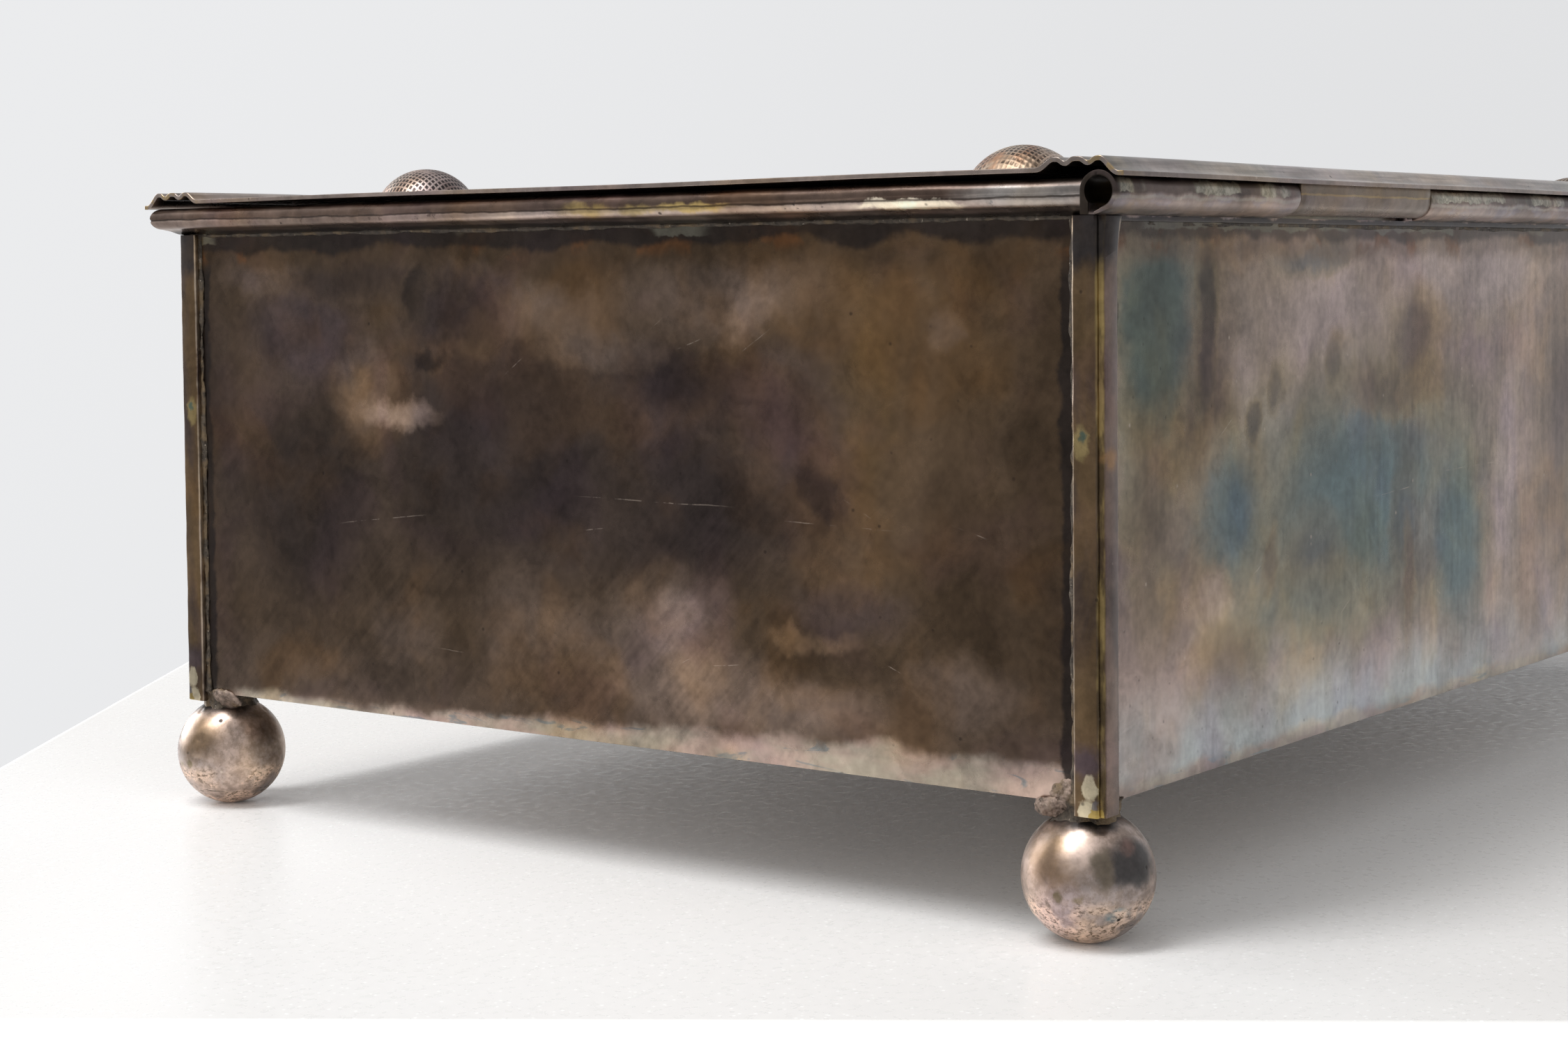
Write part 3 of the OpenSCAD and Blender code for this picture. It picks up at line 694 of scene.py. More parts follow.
def moulding_material():
    """Brown on the end strips and mauve on the side strips, brass in the groove and on worn edges, darker under the rim
    with painted shade and stain.
    """
    made, tree, shader = new_material("moulding_silver", 1.0, 0.12)
    place = coordinates(tree)
    past_x, past_y, height = corner_distance(tree, place)
    side = put(tree, "SeparateXYZ", {0: put(tree, "TexCoord").outputs["Normal"]}).outputs[1]
    side = span(tree, sum_up(tree, "ABSOLUTE", side), 0.5, 0.8)
    cloud = span(tree, noise_value(tree, stretched(tree, place, (1, 1, 0.4)), 70, 5, 0.6, 0.6), 0.4, 0.65)
    end_tone = mix(tree, cloud, (0.155, 0.100, 0.052, 1), (0.085, 0.060, 0.050, 1))
    side_tone = mix(tree, cloud, (0.205, 0.145, 0.118, 1), (0.105, 0.078, 0.070, 1))
    colour = mix(tree, side, end_tone, side_tone)
    in_groove = sum_up(tree, "MINIMUM", past_x, past_y)
    in_groove = span(tree, in_groove, moulding_out - groove - 0.0004, moulding_out - groove)
    worn = span(tree, noise_value(tree, stretched(tree, place, (1, 1, 0.3)), 150, 4, 0.7), 0.45, 0.60)
    colour = mix(tree, sum_up(tree, "MULTIPLY", in_groove, 0.9), colour, (0.095, 0.066, 0.034, 1))
    colour = mix(tree, sum_up(tree, "MULTIPLY", in_groove, worn), colour, (0.34, 0.245, 0.10, 1))
    # Darker towards the top, under the rim: painted shade under the bead, partly stain.
    jagged = put(tree, "SeparateXYZ", {0: ragged(tree, place, 120, 0.010)}).outputs[2]
    shade_and_stain = span(tree, jagged, wall_top - 0.011, wall_top - 0.006, 0.0, 0.88)
    colour = mix(tree, shade_and_stain, colour, (0.038, 0.037, 0.042, 1))
    corner = put(tree, "CombineXYZ", {0: past_x, 1: past_y, 2: height}).outputs[0]
    marks = (
        ((0.38, 0.29, 0.13), 0.85, (0.0015, -0.0028, 0.0925), (0.004, 0.0016, 0.0030), 0.3),
        ((0.07, 0.14, 0.12), 0.8, (0.0015, -0.0024, 0.0935), (0.004, 0.0006, 0.0012), 0.5),
        ((0.40, 0.22, 0.09), 0.6, (-0.0020, 0.0015, 0.0895), (0.0020, 0.004, 0.0022), 0.5),
        ((0.10, 0.075, 0.085), 0.8, (0.0015, -0.0020, 0.0345), (0.004, 0.0030, 0.0030), 0.5),
        ((0.58, 0.50, 0.35), 0.95, (0.0015, -0.0012, 0.0300), (0.004, 0.0015, 0.0022), 0.15),
        ((0.58, 0.50, 0.35), 0.95, (0.0015, -0.0018, 0.0258), (0.004, 0.0019, 0.0020), 0.15),
        ((0.15, 0.14, 0.15), 0.8, (0.0015, -0.0001, 0.0268), (0.004, 0.0006, 0.0012), 0.3),
        ((0.38, 0.27, 0.08), 0.95, (0.0010, -0.0002, 0.0250), (0.004, 0.0013, 0.0010), 0.15),
    )
    colour = paint_patches(tree, ragged(tree, corner, 420, 0.0030), colour, marks)
    inner = sum_up(tree, "MAXIMUM", sum_up(tree, "MULTIPLY", past_x, -1.0), sum_up(tree, "MULTIPLY", past_y, -1.0))
    lip = span(tree, inner, moulding_in - 0.00045, moulding_in - 0.00020)
    worn = span(tree, noise_value(tree, place, 120, 3), 0.35, 0.55)
    colour = mix(tree, sum_up(tree, "MULTIPLY", lip, worn), colour, (0.40, 0.32, 0.24, 1))
    age(tree, shader, place, colour, (1, 1, 0.1), 1.0, 0.0001)
    return made


moulding_silver = moulding_material()


def corner_moulding(name, node, side_x, side_y):
    """One moulding, from an outline of its angle with the groove, counted from the walls' corner."""
    low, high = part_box(node)
    inner = moulding_out - moulding_w
    step = moulding_out - groove
    outline = (
        (inner, 0),
        (inner, moulding_out * 0.86),
        (inner + 0.0006, moulding_out),
        (step - 0.0004, moulding_out),
        (step, moulding_out - 0.0003),
        (step, step),
        (moulding_out - 0.0003, step),
        (moulding_out, step - 0.0004),
        (moulding_out, inner + 0.0006),
        (moulding_out * 0.86, inner),
        (0, inner),
        (0, 0),
    )
    points = [(side_x * (end_x + a), body_y + side_y * (half_w + b)) for a, b in outline]
    piece = section_bar(name, points, 2, low.z, high.z, 70)
    for vertex in piece.data.vertices:
        flare = max(0.0, (vertex.co.z - high.z + 0.010) / 0.010)
        outside = side_y * (vertex.co.y - body_y) - half_w
        if side_y > 0 and outside > 0.0005:
            vertex.co.y += 0.0006 * flare * flare
            vertex.co.x -= side_x * 0.0008 * flare * flare * (outside > 0.0012)
    rough_up(piece, 0.00009, 260)
    add_modifier(piece, "BEVEL", width=0.00012, segments=2, limit_method="ANGLE", angle_limit=0.6)
    settle(piece, 40)
    dress(piece, moulding_silver)
    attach(piece, "chest")
    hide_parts(node)


for side_x, side_y, corner in ((-1, -1, "front_left"), (1, -1, "front_right"), (-1, 1, "back_left"), (1, 1, "back_right")):
    corner_moulding("moulding_" + corner, "corner_moulding_" + corner, side_x, side_y)


# Solder
# Grey, gritty solder runs down both inner edges of each moulding and spreads at the bottom, over
# the joint with the foot. A thinner line runs under the rim. All of it was left unfiled.
def solder_material(name, dark, pale):
    """Dull grey-brown with dark pits, cream crumbs and pinkish stains."""
    made, tree, shader = new_material(name, 0.8)
    place = coordinates(tree)
    grain = noise_value(tree, place, 700, 6, 0.7)
    patch = noise_value(tree, place, 170, 4, 0.6)
    colour = mix(tree, span(tree, grain, 0.30, 0.70), dark, pale)
    colour = mix(tree, span(tree, patch, 0.48, 0.62), colour, (0.16, 0.115, 0.070, 1))
    colour = mix(tree, span(tree, grain, 0.44, 0.36, 0.0, 0.8), colour, (0.050, 0.038, 0.028, 1))
    crumb = span(tree, noise_value(tree, place, 1300, 2), 0.66, 0.74)
    colour = mix(tree, sum_up(tree, "MULTIPLY", crumb, 0.5), colour, (0.55, 0.47, 0.38, 1))
    tree.links.new(colour, shader.inputs["Base Color"])
    tree.links.new(span(tree, grain, 0.3, 0.7, 0.30, 0.55), shader.inputs["Roughness"])
    bump(tree, shader, grain, 0.9, 0.0005)
    return made


solder = solder_material("solder", (0.030, 0.025, 0.022, 1), (0.13, 0.105, 0.080, 1))
foot_crust = solder_material("foot_crust", (0.13, 0.095, 0.075, 1), (0.36, 0.275, 0.225, 1))


def solder_line(name, axis, low, high, place, width, height, spread=0.0):
    """A flattened half round of solder, lying on a wall: place, width and height are pairs."""
    outline = []
    for step in range(9):
        turn = math.pi * step / 8
        outline.append((
            place[0] + width[0] * math.cos(turn) + height[0] * math.sin(turn),
            place[1] + width[1] * math.cos(turn) + height[1] * math.sin(turn),
        ))
    piece = section_bar(name, outline, axis, low, high, round((high - low) / 0.0007))
    others = [n for n in range(3) if n != axis]
    for vertex in piece.data.vertices:
        away = Vector((vertex.co[others[0]] - place[0], vertex.co[others[1]] - place[1]))
        swell = 0.75 + 0.55 * noise.noise(vertex.co * 330) + 0.45 * noise.noise(vertex.co * 90)
        foot = max(0.0, 1 - (vertex.co[axis] - low) / 0.007) if spread else 0.0
        swell += spread * foot * foot
        vertex.co[others[0]] = place[0] + away.x * swell
        vertex.co[others[1]] = place[1] + away.y * swell
    rough_up(piece, 0.00022, 900)
    settle(piece, 60)
    dress(piece, solder)
    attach(piece, "chest")


for side_x, side_y, corner in ((-1, -1, "front_left"), (1, -1, "front_right"), (-1, 1, "back_left"), (1, 1, "back_right")):
    edge = moulding_in
    low_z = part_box("right_panel")[0].z + 0.0002
    at_end = (side_x * end_x, body_y + side_y * (half_w - edge - 0.0004))
    solder_line("solder_end_" + corner, 2, low_z, wall_top, at_end, (0, 0.0009), (side_x * 0.0006, 0), 0.8)
    at_side = (side_x * (end_x - edge - 0.0003), side_y * half_w + body_y)
    solder_line("solder_side_" + corner, 2, low_z, wall_top, at_side, (0.0006, 0), (0, side_y * 0.0005), 0.8)


# Ball feet
# Turned balls of plated brass, rubbed flat underneath and dented, with scratched and pitted plate.
# Each is soldered on under a corner with a lump of the same rough solder.
def ball_material():
    """Pinkish silver with a painted highlight; brown towards one side and blue-black towards the other, tarnish
    deepened as painted reflections; a dark ring under the collar, soot and painted shade; crusted and pitted below.
    """
    made, tree, shader = new_material("ball_silver", 1.0, 0.15)
    place = coordinates(tree)
    past_x, past_y, height = corner_distance(tree, place)
    across = put(tree, "CombineXYZ", {0: past_x, 1: past_y, 2: height}).outputs[0]
    across = ragged(tree, across, 170, 0.0045)
    inset = -0.0059
    patches = (
        # Brown towards one side: tarnish, darkened as a painted reflection of the room.
        ((0.27, 0.180, 0.105), 0.9, (inset + 0.0117, inset - 0.0008, 0.0172), (0.006, 0.0060, 0.0055), 0.6),
        # A painted highlight: a pale pink spot high on the ball.
        ((0.66, 0.52, 0.45), 0.8, (inset + 0.0097, inset + 0.0038, 0.0190), (0.003, 0.0030, 0.0040), 0.7),
        # Blue-black towards the other side: tarnish, partly a painted reflection of the room's dark side.
        ((0.075, 0.072, 0.072), 0.95, (inset + 0.0030, inset + 0.0118, 0.0162), (0.0060, 0.0060, 0.0046), 0.35),
        ((0.30, 0.180, 0.150), 0.6, (inset + 0.0030, inset + 0.0110, 0.0195), (0.002, 0.0020, 0.0014), 0.6),
        ((0.19, 0.155, 0.115), 0.9, (inset + 0.0090, inset + 0.0084, 0.0175), (0.0022, 0.0022, 0.0050), 0.4),
        # Black ring under the collar: soot, and painted shade under the plate and collar.
        ((0.045, 0.042, 0.042), 0.95, (inset + 0.003, inset + 0.003, 0.0252), (0.0105, 0.0105, 0.0036), 0.3),
        ((0.17, 0.25, 0.28), 0.85, (inset + 0.0056, inset + 0.0098, 0.0068), (0.0024, 0.0024, 0.0012), 0.4),
        ((0.11, 0.085, 0.055), 0.9, (inset + 0.0112, inset - 0.0019, 0.0072), (0.0010, 0.0010, 0.0018), 0.3),
        ((0.13, 0.105, 0.045), 0.8, (inset + 0.0121, inset + 0.0008, 0.0105), (0.0010, 0.0010, 0.0010), 0.4),
        ((0.19, 0.150, 0.070), 0.7, (inset + 0.0112, inset + 0.0042, 0.0102), (0.0008, 0.0008, 0.0007), 0.5),
    )
    colour = mix(
        tree, span(tree, noise_value(tree, place, 85, 4), 0.4, 0.6), (0.50, 0.385, 0.325, 1), (0.40, 0.335, 0.31, 1)
    )
    mottle = span(tree, noise_value(tree, place, 620, 5, 0.7), 0.42, 0.60, 0.0, 0.45)
    colour = mix(tree, mottle, colour, (0.20, 0.145, 0.105, 1))
    colour = paint_patches(tree, across, colour, patches)
    low = span(tree, height, 0.0110, 0.0075)
    patchy = sum_up(tree, "MULTIPLY", low, span(tree, noise_value(tree, place, 150, 3), 0.42, 0.56))
    crumbs = noise_value(tree, stretched(tree, place, (1, 1, 1.6)), 900, 5, 0.75)
    crusted = mix(tree, span(tree, crumbs, 0.40, 0.52), (0.20, 0.14, 0.095, 1), (0.80, 0.61, 0.49, 1))
    colour = mix(tree, sum_up(tree, "MULTIPLY", patchy, 0.90), colour, crusted)
    lines = noise_value(tree, stretched(tree, place, (1, 1, 7)), 240, 4, 0.6, 0.6)
    groove_band = span(tree, sum_up(tree, "ABSOLUTE", sum_up(tree, "SUBTRACT", height, 0.0040)), 0.0022, 0.0010)
    cuts = sum_up(tree, "MULTIPLY", span(tree, lines, 0.60, 0.64), groove_band)
    colour = mix(tree, sum_up(tree, "MULTIPLY", cuts, 0.9), colour, (0.045, 0.035, 0.022, 1))
    dull = sum_up(tree, "ADD", sum_up(tree, "MULTIPLY", patchy, 0.16), 0.30)
    age(tree, shader, place, colour, (1, 1, 1), 1.6, 0.00014, dull)
    return made


ball_silver = ball_material()


def foot(name, node):
    """One ball: a fine sphere, cut flat at the table and dented by hand."""
    low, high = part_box(node)
    radius = (high.x - low.x) / 2
    flat = 0.002
    centre = Vector(((low.x + high.x) / 2, (low.y + high.y) / 2, math.sqrt(radius**2 - flat**2)))
    bpy.ops.object.select_all(action="DESELECT")
    bpy.ops.mesh.primitive_uv_sphere_add(segments=96, ring_count=72, radius=radius, location=centre)
    piece = bpy.context.object
    piece.name = name
    settle(piece)
    for vertex in piece.data.vertices:
        out = (vertex.co - centre).normalized()
        dent = max(0.0, noise.noise(vertex.co * 420 + Vector((3, 3, 3))) - 0.42)
        ripple = noise.noise(vertex.co * 150)
        vertex.co -= out * (dent * 0.0011 + 0.00005 + 0.00004 * ripple)
        vertex.co.z = max(0.0, vertex.co.z)
    settle(piece, 50)
    dress(piece, ball_silver)
    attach(piece, "chest")
    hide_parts(node)
    return centre


def collar(name, centre):
    """The ring of solder between a ball and the plate above it."""
    low_z = 0.0215
    high_z = wall_low + 0.0004
    bpy.ops.object.select_all(action="DESELECT")
    bpy.ops.mesh.primitive_cone_add(
        vertices=80, radius1=0.0074, radius2=0.0066, depth=high_z - low_z, end_fill_type="TRIFAN",
        location=(centre.x, centre.y, (low_z + high_z) / 2),
    )
    piece = bpy.context.object
    piece.name = name
    settle(piece)
    choose_only(piece)
    bpy.ops.object.mode_set(mode="EDIT")
    mesh = bmesh.from_edit_mesh(piece.data)
    for line in mesh.edges:
        line.select_set(abs(line.verts[0].co.z - line.verts[1].co.z) > 0.001)
    bmesh.update_edit_mesh(piece.data)
    bpy.ops.mesh.subdivide(number_cuts=9)
    bpy.ops.object.mode_set(mode="OBJECT")
    for vertex in piece.data.vertices:
        up = (vertex.co.z - low_z) / (high_z - low_z)
        away = Vector((vertex.co.x - centre.x, vertex.co.y - centre.y, 0))
        waist = 1 - 0.16 * math.sin(math.pi * up)
        lump = 1 + 0.10 * noise.noise(vertex.co * 260) + 0.05 * noise.noise(vertex.co * 700)
        vertex.co.x = centre.x + away.x * waist * lump
        vertex.co.y = centre.y + away.y * waist * lump
    rough_up(piece, 0.00018, 1100)
    settle(piece, 60)
    dress(piece, solder)
    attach(piece, "chest")


def lump(name, place, size, lean, material):
    """A blob of solder on a wall's bottom edge: a sphere squashed, leaned over and roughened."""
    bpy.ops.object.select_all(action="DESELECT")
    bpy.ops.mesh.primitive_uv_sphere_add(segments=110, ring_count=80, radius=1, location=place)
    piece = bpy.context.object
    piece.name = name
    piece.scale = size
    settle(piece)
    for vertex in piece.data.vertices:
        out = vertex.co - place
        swell = 1 + 0.34 * noise.noise(vertex.co * 300) + 0.14 * noise.noise(vertex.co * 900)
        vertex.co = place + out * swell
        vertex.co += Vector(lean) * out.z
    rough_up(piece, 0.00014, 1500)
    settle(piece, 60)
    dress(piece, material)
    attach(piece, "chest")


for side_x, side_y, corner in ((-1, -1, "front_left"), (1, -1, "front_right"), (-1, 1, "back_left"), (1, 1, "back_right")):
    centre = foot("ball_" + corner, "foot_" + corner)
    collar("foot_collar_" + corner, centre)
    run = -side_y * Vector((0, 1, 0))
    low_spot = Vector((side_x * (end_x - 0.0008), centre.y, 0.0252)) + run * 0.0046
    lump("foot_lump_" + corner, low_spot, (0.0015, 0.0042, 0.0022), (side_x * 0.5, side_y * 0.30, 0), foot_crust)
    if side_y > 0:
        high_spot = Vector((side_x * (end_x - 0.0005), centre.y, 0.0280)) + run * 0.0018
        lump("foot_peak_" + corner, high_spot, (0.0012, 0.0026, 0.0030), (0, side_y * 0.30, 0), foot_crust)
    behind = Vector((centre.x - side_x * 0.0008, body_y + side_y * (half_w - 0.0010), 0.0254))
    lump("foot_crumb_" + corner, behind, (0.0026, 0.0012, 0.0020), (side_x * 0.5, side_y * 0.3, 0), solder)


# Rim beads
# A hollow half-round moulding of plated brass runs round the rim at the front and both ends,
# mitred at the front corners. Wear shows brass and nickel in patches along its nose.
def bead_material(name, patches):
    """Dark brown over the crease and mauve under it, partly painted as a reflection of the room above and the table
    below; pitted along it, with worn patches, painted shade in the crease and along the foot, and a painted highlight
    along the top.
    """
    made, tree, shader = new_material(name, 1.0, 0.15)
    place = coordinates(tree)
    low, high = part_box("rim_bead_right")
    height = put(tree, "SeparateXYZ", {0: ragged(tree, place, 90, 0.0011)}).outputs[2]
    # Dark brown above the crease and pale mauve below it: tarnish, painted darker above and lighter below as a
    # reflection of the room and the white table.
    under = span(tree, height, low.z + 0.0034, low.z + 0.0030)
    tone = noise_value(tree, stretched(tree, place, (0.5, 0.5, 2)), 55, 5, 0.6, 0.5)
    top = mix(tree, span(tree, tone, 0.35, 0.65), (0.085, 0.057, 0.044, 1), (0.145, 0.100, 0.078, 1))
    bottom = mix(tree, span(tree, tone, 0.35, 0.65), (0.33, 0.245, 0.21, 1), (0.56, 0.45, 0.385, 1))
    colour = mix(tree, under, top, bottom)
    crust = noise_value(tree, place, 620, 4, 0.7)
    pits = sum_up(tree, "MULTIPLY", span(tree, crust, 0.56, 0.62), span(tree, noise_value(tree, place, 60, 3), 0.5, 0.6))
    near = span(tree, sum_up(tree, "ABSOLUTE", sum_up(tree, "SUBTRACT", height, low.z + 0.0029)), 0.0014, 0.0004)
    colour = mix(tree, sum_up(tree, "MULTIPLY", sum_up(tree, "MULTIPLY", pits, near), 0.85), colour, (0.05, 0.045, 0.050, 1))
    colour = paint_patches(tree, ragged(tree, place, 160, 0.0050), colour, patches)
    # A dark line along the crease: painted shade in the crease.
    crease = sum_up(tree, "ABSOLUTE", sum_up(tree, "SUBTRACT", height, low.z + 0.0033))
    colour = mix(tree, span(tree, crease, 0.00030, 0.00010, 0.0, 0.75), colour, (0.040, 0.028, 0.022, 1))
    # A lighter line along the bead's top: a painted highlight.
    edge = span(tree, height, high.z - 0.0007, high.z - 0.0004, 0.0, 0.5)
    colour = mix(tree, edge, colour, (0.26, 0.19, 0.16, 1))
    # Dark along the bead's foot against the wall: painted shade under the bead.
    foot_shade = span(tree, height, low.z + 0.0012, low.z + 0.0005, 0.0, 0.9)
    colour = mix(tree, foot_shade, colour, (0.030, 0.023, 0.020, 1))
    age(tree, shader, place, colour, (1, 1, 1), 1.3, 0.00012, 0.22)
    return made


bead_low, bead_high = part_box("rim_bead_front")
bead_h = bead_high.z - bead_low.z
bead_out = front_y - bead_low.y
nose_r = 0.0023


def bead_outline(share=1.0):
    """Half section of the bead: points (out from the wall, up), from the wall's foot to its top."""
    nose = Vector((bead_out * share - nose_r, bead_h - nose_r))
    points = [(0.0, 0.0), (0.0012 * share, 0.0002), (0.0026 * share, 0.0008)]
    for step in range(31):
        turn = -85 + 175 * step / 30
        crease = 0.00022 * math.exp(-((turn + 8) / 6) ** 2)
        reach = nose_r - crease
        points.append((nose.x + reach * math.cos(math.radians(turn)), nose.y + reach * math.sin(math.radians(turn))))
    points.append((0.0, bead_h))
    return points


def finish_bead(piece, node, material):
    """Wear, shading and places that all beads share."""
    rough_up(piece, 0.00006, 320)
    rough_up(piece, 0.00010, 45)
    settle(piece, 45)
    dress(piece, material)
    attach(piece, "chest")
    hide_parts(node)


bead_z = bead_low.z
front_share = 0.82
outline = [(front_y - out, bead_z + up) for out, up in bead_outline(front_share)]
piece = section_bar("bead_front", outline, 0, -end_x, end_x, 110)
for vertex in piece.data.vertices:
    if abs(abs(vertex.co.x) - end_x) < 1e-5:
        vertex.co.x += math.copysign((front_y - vertex.co.y) / front_share, vertex.co.x)
    vertex.co.z += 0.00025 * min(1.0, (vertex.co.z - bead_z) / 0.004)
front_wear = (
    ((0.50, 0.37, 0.13), 0.8, (0.060, front_y - bead_out, bead_z + 0.0035), (0.020, 1.0, 0.0016), 0.5),
    ((0.64, 0.54, 0.42), 0.85, (-0.085, front_y - bead_out, bead_z + 0.0030), (0.012, 1.0, 0.0014), 0.4),
)
finish_bead(piece, "rim_bead_front", bead_material("bead_silver_front", front_wear))

end_wear = (
    ((0.46, 0.34, 0.13), 0.75, (end_x, 0.005, bead_z + 0.0030), (1.0, 0.0060, 0.0010), 0.6),
    ((0.46, 0.34, 0.13), 0.75, (end_x, 0.018, bead_z + 0.0030), (1.0, 0.0045, 0.0010), 0.5),
    ((0.50, 0.36, 0.14), 0.90, (end_x, 0.032, bead_z + 0.0030), (1.0, 0.0095, 0.0011), 0.4),
    ((0.90, 0.78, 0.61), 0.95, (end_x, 0.084, bead_z + 0.0025), (1.0, 0.0115, 0.0011), 0.20),
    ((0.42, 0.40, 0.38), 0.7, (end_x, 0.110, bead_z + 0.0036), (1.0, 0.0120, 0.0030), 0.6),
    ((0.25, 0.17, 0.13), 0.7, (end_x, -0.080, bead_z + 0.0022), (1.0, 0.0500, 0.0020), 0.8),
)
end_bead_silver = bead_material("bead_silver_ends", end_wear)
for side_x, end in ((-1, "left"), (1, "right")):
    outline = [(side_x * (end_x + out), bead_z + up) for out, up in bead_outline()]
    piece = section_bar("bead_" + end, outline, 1, front_y, back_y, 80)
    for vertex in piece.data.vertices:
        if abs(vertex.co.y - front_y) < 1e-5:
            vertex.co.y -= (abs(vertex.co.x) - end_x) * front_share
        nearness = max(0.0, min(1.0, (vertex.co.y + 0.02) / 0.10))
        vertex.co.z += (0.00025 + 0.00050 * nearness) * min(1.0, (vertex.co.z - bead_z) / 0.004)
    finish_bead(piece, "rim_bead_" + end, end_bead_silver)
    solder_line(
        "solder_rim_" + end, 1, front_y + 0.002, back_y - 0.002,
        (side_x * end_x, bead_z - 0.0002), (0, 0.0007), (side_x * 0.0005, 0),
    )
solder_line(
    "solder_rim_front", 0, -end_x + 0.002, end_x - 0.002, (front_y, bead_z - 0.0002), (0, 0.0007), (-0.0005, 0)
)


# Hinge
# A strip soldered along the back wall is rolled up and over into knuckles, with an open seam
# underneath. The lid's two knuckles hang from under its border and roll the other way round.
# A drawn brass pin runs through them all, short of the open ends.
def hinge_material():
    """Mauve silver under, brown over, with pale grey solder peeling off in between; painted shade in the bore and a
    painted shadow on the open end's wall side.
    """
    made, tree, shader = new_material("hinge_silver", 1.0, 0.15)
    place = coordinates(tree)
    jagged = put(tree, "SeparateXYZ", {0: ragged(tree, place, 200, 0.0034)}).outputs[2]
    even = put(tree, "SeparateXYZ", {0: ragged(tree, place, 150, 0.0022)}).outputs[2]
    tone = noise_value(tree, stretched(tree, place, (0.6, 1, 1)), 60, 5, 0.6, 0.5)
    colour = mix(tree, span(tree, tone, 0.35, 0.65), (0.22, 0.165, 0.14, 1), (0.42, 0.33, 0.29, 1))
    sheen = span(tree, noise_value(tree, stretched(tree, place, (1, 1, 3)), 120, 3), 0.5, 0.65)
    colour = mix(tree, sum_up(tree, "MULTIPLY", sheen, 0.5), colour, (0.30, 0.28, 0.33, 1))
    brown = mix(tree, span(tree, tone, 0.4, 0.6), (0.075, 0.056, 0.050, 1), (0.17, 0.125, 0.105, 1))
    colour = mix(tree, span(tree, even, axis_z - 0.0007, axis_z + 0.0001), colour, brown)
    shine = span(tree, sum_up(tree, "ABSOLUTE", sum_up(tree, "SUBTRACT", even, axis_z - 0.0009)), 0.0005, 0.0001)
    colour = mix(tree, sum_up(tree, "MULTIPLY", shine, 0.5), colour, (0.50, 0.46, 0.40, 1))
    peeled = sum_up(
        tree, "MULTIPLY",
        span(tree, jagged, axis_z - 0.0002, axis_z + 0.0001), span(tree, jagged, axis_z + 0.0024, axis_z + 0.0021),
    )
    stretch = noise_value(tree, stretched(tree, place, (1, 0, 0)), 36, 3, 0.6)
    peeled = sum_up(tree, "MULTIPLY", peeled, span(tree, stretch, 0.46, 0.50))
    crazed = span(tree, noise_value(tree, place, 700, 4, 0.7), 0.4, 0.6)
    flake = mix(tree, crazed, (0.25, 0.24, 0.19, 1), (0.46, 0.43, 0.35, 1))
    colour = mix(tree, sum_up(tree, "MULTIPLY", peeled, 0.92), colour, flake)
    foot = span(tree, jagged, axis_z - 0.0037, axis_z - 0.0043, 0.0, 0.92)
    colour = mix(tree, foot, colour, (0.030, 0.027, 0.027, 1))
    # Painted shade inside the bore, and a painted shadow over the wall side of the open end.
    part = put(tree, "SeparateXYZ", {0: place}).outputs
    away_y = sum_up(tree, "SUBTRACT", part[1], axis_y)
    away_z = sum_up(tree, "SUBTRACT", part[2], axis_z)
    reach = sum_up(tree, "ADD", sum_up(tree, "MULTIPLY", away_y, away_y), sum_up(tree, "MULTIPLY", away_z, away_z))
    inside = span(tree, put(tree, "Math", {0: reach}, operation="SQRT").outputs[0], bore_r + 0.00025, bore_r + 0.0001)
    past_end = span(tree, sum_up(tree, "ABSOLUTE", part[0]), hinge_high.x - 0.0004, hinge_high.x - 0.0002)
    end_shadow = sum_up(tree, "MULTIPLY", past_end, span(tree, away_y, -0.0012, -0.0020))
    colour = mix(tree, sum_up(tree, "MAXIMUM", inside, end_shadow), colour, (0.045, 0.034, 0.026, 1))
    age(tree, shader, place, colour, (0.1, 1, 1), 1.3, 0.00014, 0.24)
    return made


def lid_hinge_material():
    """The lid's knuckles: brown, with the flat part of the strip worn to brass."""
    made, tree, shader = new_material("lid_hinge_silver", 1.0, 0.15)
    place = coordinates(tree)
    height = put(tree, "SeparateXYZ", {0: ragged(tree, place, 120, 0.0010)}).outputs[2]
    tone = noise_value(tree, stretched(tree, place, (0.6, 1, 1)), 60, 5, 0.6, 0.5)
    colour = mix(tree, span(tree, tone, 0.35, 0.65), (0.125, 0.095, 0.070, 1), (0.25, 0.20, 0.165, 1))
    strip = span(tree, height, axis_z + 0.0004, axis_z + 0.0008, 0.0, 0.9)
    gilt = mix(tree, span(tree, tone, 0.4, 0.6), (0.27, 0.205, 0.13, 1), (0.17, 0.130, 0.090, 1))
    colour = mix(tree, strip, colour, gilt)
    line = sum_up(tree, "ABSOLUTE", sum_up(tree, "SUBTRACT", height, axis_z + 0.0005))
    colour = mix(tree, span(tree, line, 0.0003, 0.0001, 0.0, 0.7), colour, (0.36, 0.26, 0.12, 1))
    age(tree, shader, place, colour, (0.1, 1, 1), 1.2, 0.00012, 0.22)
    return made


hinge_low, hinge_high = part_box("hinge_leaf")
pin_low, pin_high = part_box("hinge_pin")
axis_y = (pin_low.y + pin_high.y) / 2
axis_z = (pin_low.z + pin_high.z) / 2
knuckle_r = hinge_high.y - axis_y
bore_r = 0.0028
hinge_silver = hinge_material()
lid_hinge_silver = lid_hinge_material()


def arc(radius, start, end, steps):
    """Points of an arc round the hinge axis, in the plane across it. Angles are in degrees."""
    turns = [math.radians(start + (end - start) * step / steps) for step in range(steps + 1)]
    return [(axis_y + radius * math.cos(turn), axis_z + radius * math.sin(turn)) for turn in turns]


